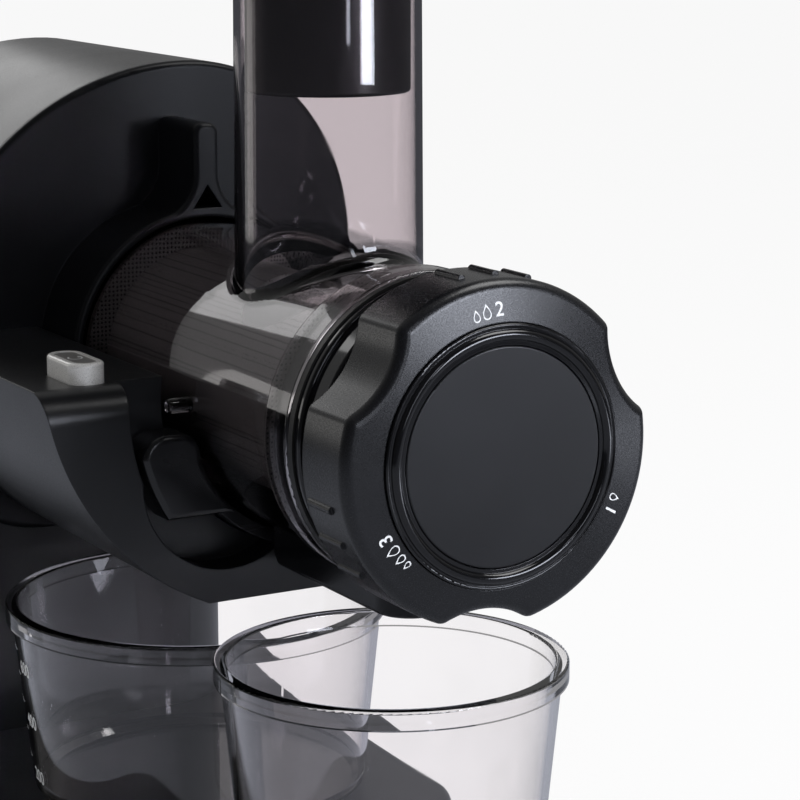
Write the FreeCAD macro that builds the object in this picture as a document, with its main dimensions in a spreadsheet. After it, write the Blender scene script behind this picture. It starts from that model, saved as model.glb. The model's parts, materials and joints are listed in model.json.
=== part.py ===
import FreeCAD, Part
import math
import os
import re

import Sketcher

V = FreeCAD.Vector
OUT_DIR = "parts"

# Millimetres. X runs along the drum to the dial, -Y is the user's side, Z is up, the table is Z = 0.
SIZES = {
    "axis_y": 10, "axis_z": 168, "wall": 3,
    # how far a cutting shape runs past what it cuts
    "over": 1,
    # head outline, seen along the drum
    "back_x": -187.5, "shell_front": -39, "face_x": -36, "apex_y": 17.8, "apex_z": 265, "arc_left": 101.6,
    "arc_right": 67.2, "arc_low": 90.4, "arc_low_right": 62, "side_right": 85, "side_right_low": 158,
    "floor_corner": 46, "floor_z": 104, "floor_left": -31, "floor_right": 45, "back_round": 16,
    "face_round": 2.2,
    # column and base
    "column_back": -182, "column_front": -88, "column_left": -72, "column_right": 64, "column_corner": 30,
    "base_top": 14, "base_low": 3, "base_front": 64, "base_left": -80, "base_right": 80, "base_corner": 26,
    "base_round": 4, "cover_thick": 2, "cover_gap": 0.4, "foot_r": 9, "foot_back": -166, "foot_fore": 42,
    "foot_y": 60, "screw_r": 1.9, "screw_head_r": 3.6, "screw_head": 2.2, "screw_long": 9, "screw_play": 0.05,
    "boss_r": 5.5, "base_screw_back": -166, "base_screw_fore": -106, "base_screw_y": 38,
    # back face
    "vent_count": 6, "vent_step": 8, "vent_low": 150, "vent_wide": 64, "vent_high": 3.2, "vent_y": -31,
    "inlet_y": 18, "inlet_z": 46, "inlet_wide": 28, "inlet_high": 20, "inlet_deep": 18, "pin_r": 1.3,
    "rocker_y": -22, "rocker_z": 46, "rocker_wide": 14, "rocker_high": 22, "rocker_bezel": 2.6,
    "rocker_deep": 16, "rocker_gap": 0.5, "rocker_pin": 1.5, "rocker_pin_reach": 1.6,
    # collar and fin
    "collar_front": -7, "collar_r": 49, "collar_bore": 46, "collar_round": 1.4, "fin_y": 1.5,
    "fin_wide": 9.2, "fin_top": 78, "fin_neck": 60.5, "fin_foot": 46.5, "fin_flare": 11, "fin_curve": 14.6,
    "fin_corner": 3.6, "fin_round": 1.8, "fin_slot": 5.4, "fin_slot_high": 8, "cover_boss_r": 6,
    # cradle and shoulder
    "cradle_front": 78, "shoulder_z": 176, "shoulder_left": -85, "shoulder_round": 10, "trough_r": 51,
    "recess_r": 67, "recess_back": 66, "recess_from": 165, "recess_to": 215, "recess_low_r": 29.5,
    "recess_low_y": -33.5, "recess_low_z": -24, "hollow_front": 56,
    "spout_r": 13, "spout_bore": 10, "spout_x": 10, "spout_low": 94, "spout_shy": 0.6,
    # run button
    "button_x": 55, "button_y": -65, "button_long": 26, "button_wide": 12, "button_proud": 6.6,
    "button_stem": 6, "button_gap": 0.4, "inlay_edge": 2.2, "inlay_deep": 1, "inlay_thick": 0.7,
    "well_deep": 9, "end_flat": 0.2, "switch_side": 7, "switch_high": 3.5, "dome_r": 3, "board_thick": 1.6,
    "board_long": 60, "board_z": 160,
    # drum and chute
    "drum_back": -34, "drum_front": 144, "drum_r": 45, "drum_wall": 2.8, "drum_floor": 3.5, "ring_back": 130,
    "ring_r": 48, "ring_bevel": 2, "guide_r": 45.7, "guide_front": -12, "guide_edge": 1, "chute_x": 82.5,
    "chute_r": 29.9, "chute_top_r": 28.8, "chute_wall": 2.2, "chute_top": 333, "chute_root": 160,
    "saddle_round": 6, "saddle_low": 20, "outlet_r": 6.5, "window_back": 106, "window_half": 15,
    "lug_x": 74, "lug_reach": 53, "lug_r": 2.4, "lug_round": 1.2,
    # auger, screen and seals
    "shank_r": 9.5, "auger_back": -32, "auger_disc": -14, "auger_disc_r": 31, "auger_disc_thick": 3,
    "flight_r": 31, "flight_back": -9, "flight_long": 121, "flight_pitch": 31, "flight_root": 7,
    "flight_tip": 3, "flight_sink": 3, "core_back_r": 13, "core_front_r": 23, "core_front": 128, "nose_r": 6,
    "nose_front": 138, "socket_front": -12, "hex_flat": 12, "hex_play": 0.1, "fit": 0.05, "screen_back": -10,
    "screen_front": 127, "screen_r": 35, "screen_bore": 33.2, "rim_thick": 3, "rim_r": 42, "feed_r": 26.5,
    "slot_wide": 1.2, "slot_long": 20, "slot_rows": 7, "slot_step": 12, "slot_files": 4, "seal_r": 16,
    "seal_thick": 5,
    # end cap, dial and pressure cone
    "plug_back": 132, "plug_r": 41.8, "plug_bore": 36, "seal_land": 1, "cap_flange": 144.4,
    "cap_flange_r": 46.8, "cap_body": 150, "cap_body_r": 45.2, "cap_wall": 153, "cap_front": 158.5,
    "hub_r": 18, "hub_front": 164, "ring_seal_r": 47.4, "ring_seal_wide": 2.6, "dial_back": 160, "dial_r": 51,
    "dial_edge": 184, "dial_rise": 185.4, "dial_ring_r": 38.8, "dial_seat": 183, "dial_cavity_r": 39.5,
    "dial_cavity": 172, "dial_hub_r": 24, "dial_hub_deep": 160.6, "dial_round": 3.4, "scallop_r": 28,
    "scallop_at": 73, "scallop_round": 3.6, "dial_turn": 4, "rib_wide": 2.4, "rib_proud": 1.1,
    "rib_back": 162, "rib_long": 13, "rib_pitch": 12.6, "trim_bore": 32.5, "trim_r": 38.6,
    "trim_front": 187.5, "groove_wide": 1.2, "bead_wide": 3.3, "bead_r": 1.7, "rim_bead": 1,
    "rim_bead_r": 0.55, "disc_r": 32.3,
    "disc_front": 186.4, "disc_round": 0.6, "cone_back": 132, "cone_back_r": 14, "cone_front": 146,
    "cone_r": 30, "cone_end": 150, "spindle_r": 6, "spindle_front": 168, "journal_deep": 143,
    # pulp spout and juice gate
    "pulp_back": 81, "pulp_front": 158, "pulp_half": 19.5, "pulp_low": 114.5, "pulp_wall": 2.4,
    "pulp_round": 1.8, "pulp_clear": 0.3, "pulp_open": 108, "pulp_nose": 12, "pulp_heel": 4, "gate_in": 46.6,
    "gate_out": 48.8, "gate_back": -4, "gate_from": 236, "gate_to": 292, "lever_back": 66.5,
    "lever_front": 76, "lever_out": 50.5, "lever_from": 200, "tab_in": 46.9, "tab_out": 65.4,
    "tab_front": 80, "tab_round": 2, "tab_top": -8.2, "tab_foot": -35.1, "tab_corner": 8,
    "tab_top_in": -49, "tab_top_out": -56.5, "tab_neck": -17, "tab_side": -15.3,
    # feed tray and pusher
    "tray_floor": 333, "tray_thick": 2.6, "tray_rim": 357, "tray_long": 150, "tray_wide": 104,
    "tray_wall": 2.6, "tray_round": 6, "sleeve_low": 322, "sleeve_wall": 2.4, "sleeve_taper": 0.9,
    "tray_flat": 4, "pusher_r": 25.6, "pusher_low": 264, "pusher_wall": 2.4, "pusher_flange_r": 36,
    "pusher_rest": 0.3, "pusher_flange": 3, "pusher_top": 368, "pusher_grip_r": 25, "lid_thick": 4,
    "lid_over": 2, "lid_edge": 1,
    # cups
    "juice_x": -5, "juice_y": 4, "juice_rim_r": 66.5, "juice_rim": 82, "juice_low": 14.3, "juice_foot_r": 58,
    "pulp_x": 121.5, "pulp_y": 10, "pulp_rim_r": 55.3, "pulp_rim": 92, "pulp_foot_r": 45, "cup_wall": 2,
    "cup_floor": 3, "cup_heel": 3, "lip_high": 6, "lip_step": 2.2,
    # drive
    "plate_y": -5, "plate_z": 175, "plate_r": 66, "plate_thick": 4, "plate_fore": -62, "plate_rear": -106,
    "post_r": 4.5, "post_at": 58, "lay_y": -31.1, "lay_z": 183, "motor_y": -31.1, "motor_z": 147,
    "out_gear_back": -100, "out_gear_wide": 14, "lay_pinion_back": -102, "lay_pinion_wide": 19,
    "lay_gear_back": -83, "lay_gear_wide": 8, "pinion_back": -84, "pinion_wide": 10, "gear_out_module": 1.25,
    "gear_lay_module": 1, "teeth_out": 56, "teeth_lay_pinion": 14, "teeth_lay_gear": 60, "teeth_motor": 12,
    "addendum": 0.9, "dedendum": 1.15, "backlash": 0.12, "pressure_deg": 25, "shaft_r": 8, "shaft_back": -112,
    "shaft_shoulder": -38, "shaft_front": -16, "bearing_r": 13, "bearing_long": 8, "bush_clear": 2,
    "pin_lay_r": 4, "motor_r": 30, "motor_wall": 2.5, "motor_back": -168, "bell_thick": 4, "rotor_r": 23.5,
    "rotor_back": -158, "rotor_front": -122, "magnet_in": 24.4, "motor_shaft_r": 3, "motor_shaft_back": -181,
    "motor_shaft_front": -73, "motor_bush_r": 8, "fan_back": -181, "fan_wide": 7, "fan_r": 25, "fan_hub_r": 7,
    "fan_blades": 9, "blade_thick": 1.4, "main_board_x": -130, "main_board_long": 70, "main_board_wide": 90,
}

doc = FreeCAD.newDocument("slow_juicer")
sheet = doc.addObject("Spreadsheet::Sheet", "Dims")
for row, (alias, value) in enumerate(SIZES.items(), 1):
    sheet.set(f"A{row}", alias)
    sheet.set(f"B{row}", str(value))
    sheet.setAlias(f"B{row}", alias)
doc.recompute()

nodes = {}


def size(alias):
    return float(sheet.get(alias))


def linked(text):
    """An expression in sheet names, as FreeCAD reads it."""
    return re.sub(r"[a-z][a-z0-9_]*",
                  lambda word: f"Dims.{word.group(0)}" if word.group(0) in SIZES else word.group(0), text)


def value_of(text):
    """The number an expression in sheet names stands for now."""
    return float(getattr(sheet.evalExpression(linked(text)), "Value", sheet.evalExpression(linked(text))))


def bind(obj, prop, text):
    obj.setExpression(prop, linked(str(text)))


def place(obj, x="0", y="0", z="0", turn=None):
    obj.Placement = FreeCAD.Placement(V(value_of(x), value_of(y), value_of(z)), turn or FreeCAD.Rotation())
    for axis, text in zip("xyz", (x, y, z)):
        bind(obj, f"Placement.Base.{axis}", text)
    return obj


ALONG_X = FreeCAD.Rotation(V(0, 1, 0), 90)
ALONG_Y = FreeCAD.Rotation(V(1, 0, 0), -90)
UPRIGHT = FreeCAD.Rotation()


def rod(name, radius, length, x, y, z, turn=ALONG_X):
    obj = doc.addObject("Part::Cylinder", name)
    bind(obj, "Radius", radius)
    bind(obj, "Height", length)
    return place(obj, x, y, z, turn)


def block(name, x, y, z, long, wide, high):
    """A box standing on its lowest corner."""
    obj = doc.addObject("Part::Box", name)
    for prop, text in (("Length", long), ("Width", wide), ("Height", high)):
        bind(obj, prop, text)
    return place(obj, x, y, z)


def fuse(name, *shapes):
    obj = doc.addObject("Part::MultiFuse", name)
    obj.Shapes = list(shapes)
    return obj


def cut(name, base, *tools):
    obj = doc.addObject("Part::Cut", name)
    obj.Base = base
    obj.Tool = tools[0] if len(tools) == 1 else fuse(f"{name}_tools", *tools)
    return obj


def tube(name, radius, bore, length, x, y, z, turn=ALONG_X):
    return cut(name, rod(f"{name}_outside", radius, length, x, y, z, turn),
               rod(f"{name}_bore", bore, length, x, y, z, turn))


def node(label, obj):
    obj.Label = label
    nodes[label] = obj
    return obj


def solid(name, shape):
    """A shape worked out from the sheet where no ready feature makes it."""
    obj = doc.addObject("Part::Feature", name)
    obj.Shape = shape
    return obj


def new_body(name, x="0", y="0", z="0"):
    body = doc.addObject("PartDesign::Body", name)
    return place(body, x, y, z)


def sketch_on(body, plane, corners, offset=None):
    """A closed outline. A corner is (across, up) or (across, up, radius of the arc to the next corner);
    a positive radius bulges to the right of the way the outline runs."""
    sketch = body.newObject("Sketcher::SketchObject", f"{body.Name}_outline")
    origin = [plane_obj for plane_obj in body.Origin.OriginFeatures if plane_obj.Role == plane][0]
    sketch.AttachmentSupport = [(origin, "")]
    sketch.MapMode = "FlatFace"
    if offset is not None:
        sketch.AttachmentOffset = FreeCAD.Placement(V(0, 0, value_of(offset)), FreeCAD.Rotation())
        bind(sketch, "AttachmentOffset.Base.z", offset)
    points = [V(value_of(corner[0]), value_of(corner[1]), 0) for corner in corners]
    ends = []
    for index, corner in enumerate(corners):
        start, end = points[index], points[(index + 1) % len(points)]
        if len(corner) == 2:
            sketch.addGeometry(Part.LineSegment(start, end), False)
            ends.append((1, 2))
            continue
        radius = value_of(corner[2])
        chord = end - start
        normal = V(chord.y, -chord.x, 0).normalize()
        reach = math.sqrt(max(radius * radius - chord.Length ** 2 / 4, 0))
        side = 1 if radius > 0 else -1
        centre = (start + end) * 0.5 - normal * (reach * side)
        first, last = (start, end) if side > 0 else (end, start)
        angles = [math.atan2(p.y - centre.y, p.x - centre.x) for p in (first, last)]
        circle = Part.Circle(centre, V(0, 0, 1), abs(radius))
        sketch.addGeometry(Part.ArcOfCircle(circle, *angles), False)
        ends.append((1, 2) if side > 0 else (2, 1))
    count = len(corners)
    for index in range(count):
        following = (index + 1) % count
        sketch.addConstraint(Sketcher.Constraint("Coincident", index, ends[index][1], following,
                                                 ends[following][0]))
    for index, corner in enumerate(corners):
        for kind, text, number in (("DistanceX", corner[0], points[index].x),
                                   ("DistanceY", corner[1], points[index].y)):
            row = sketch.addConstraint(Sketcher.Constraint(kind, -1, 1, index, ends[index][0], number))
            bind(sketch, f"Constraints[{row}]", text)
        if len(corner) == 3:
            row = sketch.addConstraint(Sketcher.Constraint("Radius", index, abs(value_of(corner[2]))))
            bind(sketch, f"Constraints[{row}]", f"abs({corner[2]})")
    return sketch


def pad(body, sketch, length, backwards=False):
    feature = body.newObject("PartDesign::Pad", f"{body.Name}_pad")
    feature.Profile = sketch
    bind(feature, "Length", length)
    feature.Reversed = backwards
    body.Tip = feature
    doc.recompute()
    return feature


def pocket(body, sketch, length, backwards=False):
    feature = body.newObject("PartDesign::Pocket", f"{body.Name}_pocket")
    feature.Profile = sketch
    bind(feature, "Length", length)
    feature.Reversed = backwards
    body.Tip = feature
    doc.recompute()
    return feature


def lathe(body, corners, about="H_Axis"):
    sketch = sketch_on(body, "XZ_Plane", corners)
    feature = body.newObject("PartDesign::Revolution", f"{body.Name}_turned")
    feature.Profile = sketch
    feature.ReferenceAxis = (sketch, [about])
    feature.Angle = 360
    body.Tip = feature
    doc.recompute()
    return feature


def soften(body, radius, wanted):
    """Round the edges of the body's last feature that wanted() picks."""
    base = body.Tip
    names = [f"Edge{number}" for number, edge in enumerate(base.Shape.Edges, 1) if wanted(edge)]
    feature = body.newObject("PartDesign::Fillet", f"{body.Name}_round")
    feature.Base = (base, names)
    bind(feature, "Radius", radius)
    body.Tip = feature
    doc.recompute()
    return feature


def soften_part(name, base, radius, wanted):
    """Round edges of a boolean result."""
    doc.recompute()
    obj = doc.addObject("Part::Fillet", name)
    obj.Base = base
    amount = value_of(radius)
    obj.Edges = [(number, amount, amount) for number, edge in enumerate(base.Shape.Edges, 1) if wanted(edge)]
    return obj


def flat_in_x(edge, x):
    box = edge.BoundBox
    return abs(box.XMin - x) < 1e-4 and abs(box.XMax - x) < 1e-4


def flat_in_z(edge, z):
    box = edge.BoundBox
    return abs(box.ZMin - z) < 1e-4 and abs(box.ZMax - z) < 1e-4


def is_rim(edge, radius, x):
    curve = edge.Curve
    return hasattr(curve, "Radius") and abs(curve.Radius - radius) < 1e-4 and flat_in_x(edge, x)


def head_outline(inset):
    left, right = f"apex_y - arc_left + {inset}", f"side_right - {inset}"
    low, turn = f"floor_z + {inset}", f"floor_corner - {inset}"
    return [("apex_y", f"apex_z - {inset}", f"arc_left - {inset}"), (left, "apex_z - arc_left"),
            (left, "floor_z + floor_corner", turn), ("apex_y - arc_left + floor_corner", low),
            ("side_right - floor_corner", low, turn), (right, "floor_z + floor_corner"),
            (right, "apex_z - arc_right", f"arc_right - {inset}")]


def rounded_box(left, right, low, high, corner):
    """Outline of a rectangle with rounded corners, anticlockwise."""
    corner = f"({corner})"
    return [(f"{left} + {corner}", low), (f"{right} - {corner}", low, corner),
            (right, f"{low} + {corner}"), (right, f"{high} - {corner}", corner),
            (f"{right} - {corner}", high), (f"{left} + {corner}", high, corner),
            (left, f"{high} - {corner}"), (left, f"{low} + {corner}", corner)]


def stadium(x, y, long, wide):
    """Outline of a slot with round ends, long in X."""
    return rounded_box(f"({x} - ({long}) / 2)", f"({x} + ({long}) / 2)", f"({y} - ({wide}) / 2)",
                       f"({y} + ({wide}) / 2)", f"({wide}) / 2 - end_flat")


def stadium_solid(name, x, y, long, wide, z, high):
    body = new_body(name)
    pad(body, sketch_on(body, "XY_Plane", stadium(x, y, long, wide), z), high)
    return body


def spur_gear(name, teeth, module, turn_deg, width, bore, x, y, z):
    """An involute spur gear along X with one tooth centred turn_deg round from +Y."""
    count = int(round(size(teeth)))
    mod = size(module)
    pressure = math.radians(size("pressure_deg"))
    pitch_r = mod * count / 2
    base_r, tip_r, root_r = pitch_r * math.cos(pressure), pitch_r + size("addendum") * mod, \
        pitch_r - size("dedendum") * mod
    half_tooth = (math.pi * mod / 2 - size("backlash") / 2) / (2 * pitch_r)
    involute = lambda angle: math.tan(angle) - angle
    start_r = max(base_r, root_r)
    steps = 7
    flank = []
    for step in range(steps):
        radius = start_r + (tip_r - start_r) * step / (steps - 1)
        lean = half_tooth + involute(pressure) - involute(math.acos(min(1, base_r / radius)))
        flank.append((radius, lean))
    at = lambda radius, angle: V(0, radius * math.cos(angle), radius * math.sin(angle))
    edges = []
    for tooth in range(count):
        middle = math.radians(turn_deg) + 2 * math.pi * tooth / count
        rise = [at(radius, middle - lean) for radius, lean in flank]
        fall = [at(radius, middle + lean) for radius, lean in reversed(flank)]
        foot_in, foot_out = at(root_r, middle - flank[0][1]), at(root_r, middle + flank[0][1])
        next_in = at(root_r, middle + 2 * math.pi / count - flank[0][1])
        if (rise[0] - foot_in).Length > 1e-6:
            edges.append(Part.makeLine(foot_in, rise[0]))
        for side in (rise, fall):
            curve = Part.BSplineCurve()
            curve.interpolate(side)
            edges.append(curve.toShape())
            if side is rise:
                edges.append(Part.Arc(rise[-1], at(tip_r, middle), fall[0]).toShape())
        if (fall[-1] - foot_out).Length > 1e-6:
            edges.append(Part.makeLine(fall[-1], foot_out))
        edges.append(Part.Arc(foot_out, at(root_r, middle + math.pi / count), next_in).toShape())
    face = Part.Face(Part.Wire(edges))
    blank = solid(f"{name}_blank", face.extrude(V(value_of(width), 0, 0)))
    place(blank, x, y, z)
    return cut(name, blank, rod(f"{name}_bore", bore, width, x, y, z))


def arc_band(name, inner, outer, x, length, from_deg, to_deg):
    """A band round the drum axis between two angles, measured from +Y towards +Z."""
    start, span = value_of(from_deg), value_of(to_deg) - value_of(from_deg)
    turn = FreeCAD.Rotation(V(1, 0, 0), start)
    edge_in, edge_out, long = value_of(inner), value_of(outer), value_of(length)
    face = Part.makePolygon([V(0, edge_in, 0), V(0, edge_out, 0), V(long, edge_out, 0), V(long, edge_in, 0),
                             V(0, edge_in, 0)])
    band = solid(name, Part.Face(face).revolve(V(0, 0, 0), V(1, 0, 0), span))
    return place(band, x, "axis_y", "axis_z", turn)


def ring_points(alias_r, degrees, y="plate_y", z="plate_z"):
    """Places on a bolt circle, as expressions."""
    return [(f"{y} + {alias_r} * cos({angle})", f"{z} + {alias_r} * sin({angle})") for angle in degrees]


def cheese_screws(name, head_x, reach, spots):
    """Screws along X: reach is +1 or -1, the way the shank goes from the head."""
    pieces = []
    for number, (y, z) in enumerate(spots):
        head_at = f"{head_x} - screw_head" if reach > 0 else head_x
        shank_at = head_x if reach > 0 else f"{head_x} - screw_long"
        pieces.append(rod(f"{name}_head{number}", "screw_head_r", "screw_head", head_at, y, z))
        pieces.append(rod(f"{name}_shank{number}", "screw_r", "screw_long", shank_at, y, z))
    return fuse(name, *pieces)


# Head, column and base

WEB_INSET = "1.6 * wall"
head_out = new_body("head_out")
pad(head_out, sketch_on(head_out, "YZ_Plane", head_outline("0"), "back_x"), "shell_front - back_x")
soften(head_out, "back_round", lambda edge: flat_in_x(edge, size("back_x")))
head_in = new_body("head_in")
pad(head_in, sketch_on(head_in, "YZ_Plane", head_outline("wall"), "back_x + wall"), "shell_front - back_x")
soften(head_in, "back_round - wall", lambda edge: flat_in_x(edge, size("back_x") + size("wall")))
column_out = new_body("column_out")
pad(column_out, sketch_on(column_out, "XY_Plane",
    rounded_box("column_back", "column_front", "column_left", "column_right", "column_corner"), "base_top"),
    "floor_z + 2 * wall - base_top")
column_in = new_body("column_in")
pad(column_in, sketch_on(column_in, "XY_Plane",
                         rounded_box("(column_back + wall)", "(column_front - wall)", "(column_left + wall)",
                                     "(column_right - wall)", "(column_corner - wall)"), "base_top - over"),
    "floor_z + 3 * wall - base_top")
vents = [block(f"vent{row}", "back_x - over", "vent_y - vent_wide / 2", f"vent_low + {row} * vent_step",
               "wall + 2 * over", "vent_wide", "vent_high") for row in range(int(size("vent_count")))]
inlet_hole = block("inlet_hole", "column_back - over", "inlet_y - inlet_wide / 2", "inlet_z - inlet_high / 2",
                   "wall + 2 * over", "inlet_wide", "inlet_high")
rocker_hole = block("rocker_hole", "column_back - over", "rocker_y - rocker_wide / 2 - rocker_bezel",
                    "rocker_z - rocker_high / 2 - rocker_bezel", "wall + 2 * over",
                    "rocker_wide + 2 * rocker_bezel", "rocker_high + 2 * rocker_bezel")
shell = cut("housing_shell", fuse("housing_outside", head_out, column_out), head_in, column_in,
            inlet_hole, rocker_hole, *vents)
base_spots = [(x, y) for x in ("base_screw_back", "base_screw_fore")
              for y in ("-base_screw_y", "base_screw_y")]
bosses = [rod(f"housing_boss{n}", "boss_r", "2 * screw_long", x, y, "base_top", UPRIGHT)
          for n, (x, y) in enumerate(base_spots)]
boss_holes = [rod(f"housing_boss_hole{n}", "screw_r + screw_play", "screw_long", x, y, "base_top", UPRIGHT)
              for n, (x, y) in enumerate(base_spots)]
web_ends = ((f"column_left + {WEB_INSET}", "-base_screw_y - boss_r / 2"),
            ("base_screw_y + boss_r / 2", f"column_right - {WEB_INSET}"))
boss_webs = [block(f"housing_web{n}", f"{x} - wall / 2", web_ends[n % 2][0], "base_top", "wall",
                   f"({web_ends[n % 2][1]}) - ({web_ends[n % 2][0]})", "2 * screw_long")
             for n, (x, y) in enumerate(base_spots)]
node("main_housing", cut("housing", fuse("housing_bossed", shell, *bosses, *boss_webs), *boss_holes))

base_out = new_body("base_out")
pad(base_out, sketch_on(base_out, "XY_Plane",
    rounded_box("back_x", "base_front", "base_left", "base_right", "base_corner"), "base_low"),
    "base_top - base_low")
soften(base_out, "base_round", lambda edge: flat_in_z(edge, size("base_top")))
base_in = new_body("base_in")
pad(base_in, sketch_on(base_in, "XY_Plane",
    rounded_box("(back_x + wall)", "(base_front - wall)", "(base_left + wall)", "(base_right - wall)",
                "(base_corner - wall)"), "base_low - over"),
    "base_top - wall - base_low + over")
base_holes = [rod(f"base_hole{n}", "screw_r + screw_play", "base_top", x, y, "0", UPRIGHT)
              for n, (x, y) in enumerate(base_spots)]
node("base_foot", cut("base_shell", base_out, base_in, *base_holes))

cover_plate = new_body("cover_plate")
pad(cover_plate, sketch_on(cover_plate, "XY_Plane",
                           rounded_box("(back_x + wall + cover_gap)", "(base_front - wall - cover_gap)",
                                       "(base_left + wall + cover_gap)", "(base_right - wall - cover_gap)",
                                       "(base_corner - wall - cover_gap)"), "base_low"), "cover_thick")
cover_posts = [tube(f"cover_post{n}", "boss_r", "screw_head_r + screw_play",
                    "base_top - wall - base_low - cover_gap / 4", x, y, "base_low", UPRIGHT)
               for n, (x, y) in enumerate(base_spots)]
cover_wells = [rod(f"cover_well{n}", "screw_head_r + screw_play", "base_top", x, y, "0", UPRIGHT)
               for n, (x, y) in enumerate(base_spots)]
foot_spots = [(x, y) for x in ("foot_back", "foot_fore") for y in ("-foot_y", "foot_y")]
foot_wells = [rod(f"foot_well{n}", "foot_r / 2", "cover_thick + 2 * over", x, y, "base_low - over", UPRIGHT)
              for n, (x, y) in enumerate(foot_spots)]
node("base_cover", cut("base_cover_plate", fuse("base_cover_posts", cover_plate, *cover_posts),
                       *cover_wells, *foot_wells))
base_screws = []
for n, (x, y) in enumerate(base_spots):
    base_screws.append(rod(f"base_screw_head{n}", "screw_head_r", "screw_head",
                           x, y, "base_top - wall - screw_head", UPRIGHT))
    base_screws.append(rod(f"base_screw_shank{n}", "screw_r", "screw_long + wall - over", x, y,
                           "base_top - wall", UPRIGHT))
node("base_screws", fuse("base_screw_set", *base_screws))
feet = []
for n, (x, y) in enumerate(foot_spots):
    feet.append(rod(f"foot_pad{n}", "foot_r", "base_low", x, y, "0", UPRIGHT))
    feet.append(rod(f"foot_plug{n}", "foot_r / 2 - screw_play", "cover_thick + over", x, y, "base_low",
                    UPRIGHT))
node("rubber_feet", fuse("foot_set", *feet))

# Power inlet and mains rocker on the back

inlet_flange = block("inlet_flange", "column_back - wall / 2", "inlet_y - inlet_wide / 2 - wall",
                     "inlet_z - inlet_high / 2 - wall", "wall / 2", "inlet_wide + 2 * wall",
                     "inlet_high + 2 * wall")
inlet_body = block("inlet_body", "column_back", "inlet_y - inlet_wide / 2 + cover_gap / 2",
                   "inlet_z - inlet_high / 2 + cover_gap / 2", "inlet_deep", "inlet_wide - cover_gap",
                   "inlet_high - cover_gap")
inlet_socket = block("inlet_socket", "column_back - wall", "inlet_y - inlet_wide / 2 + wall",
                     "inlet_z - inlet_high / 2 + wall", "inlet_deep", "inlet_wide - 2 * wall",
                     "inlet_high - 2 * wall")
inlet_pins = [rod(f"inlet_pin{n}", "pin_r", "inlet_deep - wall", "column_back",
                  f"inlet_y + {side} * inlet_wide / 6", "inlet_z") for n, side in enumerate((-1, 1))]
node("power_inlet", fuse("inlet", cut("inlet_shell", fuse("inlet_block", inlet_flange, inlet_body),
                                      inlet_socket), *inlet_pins))
bezel_out = block("bezel_out", "column_back - wall / 2",
                  "rocker_y - rocker_wide / 2 - rocker_bezel + cover_gap / 2",
                  "rocker_z - rocker_high / 2 - rocker_bezel + cover_gap / 2", "rocker_deep",
                  "rocker_wide + 2 * rocker_bezel - cover_gap", "rocker_high + 2 * rocker_bezel - cover_gap")
bezel_in = block("bezel_in", "column_back - wall", "rocker_y - rocker_wide / 2", "rocker_z - rocker_high / 2",
                 "rocker_deep", "rocker_wide", "rocker_high")
rocker_hinge = lambda name, radius, reach: rod(name, radius, f"rocker_wide + 2 * ({reach})",
                                               "column_back + wall",
                                               f"rocker_y - rocker_wide / 2 - ({reach})", "rocker_z", ALONG_Y)
node("switch_frame", cut("bezel", bezel_out, bezel_in,
                         rocker_hinge("rocker_seat", "rocker_pin + fit", "rocker_pin_reach + fit")))
paddle = new_body("paddle", "column_back + wall", "rocker_y - rocker_wide / 2 + rocker_gap", "rocker_z")
pad(paddle, sketch_on(paddle, "XZ_Plane",
    [("-2 * wall", "rocker_high / 2 - 3.4 * rocker_gap"), ("-1.1 * wall", "0"),
     ("-1.1 * wall", "-rocker_high / 2 + 3.4 * rocker_gap"),
     ("wall", "-rocker_high / 2 + 2.4 * wall"), ("wall", "rocker_high / 2 - 2.4 * wall")]),
    "rocker_wide - 2 * rocker_gap", True)
node("power_rocker", fuse("rocker", paddle, rocker_hinge("rocker_pin", "rocker_pin", "rocker_pin_reach")))

# Front cover with collar and fin

cover = new_body("cover")
pad(cover, sketch_on(cover, "YZ_Plane", head_outline("0"), "shell_front"), "face_x - shell_front")
soften(cover, "face_round", lambda edge: flat_in_x(edge, size("face_x")))
collar_rod = rod("collar_rod", "collar_r", "collar_front - face_x + over", "face_x - over", "axis_y",
                 "axis_z")
collar = soften_part("collar", collar_rod, "collar_round",
                     lambda edge: is_rim(edge, size("collar_r"), size("collar_front")))
fin = new_body("fin", "0", "axis_y + fin_y", "axis_z")
pad(fin, sketch_on(fin, "YZ_Plane",
    [("-fin_wide / 2 - fin_flare", "fin_foot"), ("fin_wide / 2 + fin_flare", "fin_foot", "-fin_curve"),
     ("fin_wide / 2", "fin_neck"), ("fin_wide / 2", "fin_top"), ("-fin_wide / 2", "fin_top"),
     ("-fin_wide / 2", "fin_neck", "-fin_curve")], "face_x - over"), "collar_front - face_x + over")
fin_level = lambda edge: edge.BoundBox.ZMax - max(corner.Z for corner in fin.Tip.Shape.Vertexes)
soften(fin, "fin_corner", lambda edge: edge.BoundBox.XLength > size("collar_round")
       and abs(fin_level(edge)) < 1e-3)
soften(fin, "fin_round", lambda edge: flat_in_x(edge, size("collar_front"))
       and fin_level(edge) > size("fin_foot") - size("fin_top") + size("over"))
fin_slot = new_body("fin_slot", "0", "axis_y + fin_y", "axis_z + collar_r")
pad(fin_slot, sketch_on(fin_slot, "YZ_Plane", [("-fin_slot", "0"), ("fin_slot", "0"), ("0", "fin_slot_high")],
                        "face_x + fin_slot"), "collar_front - face_x")
cover_spots = ring_points("post_at", (15, 75, 165, 285))
cover_bosses = [rod(f"cover_boss{n}", "cover_boss_r", "shell_front - plate_fore", "plate_fore", y, z)
                for n, (y, z) in enumerate(cover_spots)]
cover_taps = [rod(f"cover_tap{n}", "screw_r + screw_play", "screw_long", "plate_fore", y, z)
              for n, (y, z) in enumerate(cover_spots)]
collar_hole = rod("collar_hole", "collar_bore", "collar_front - face_x + over", "face_x", "axis_y", "axis_z")
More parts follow.
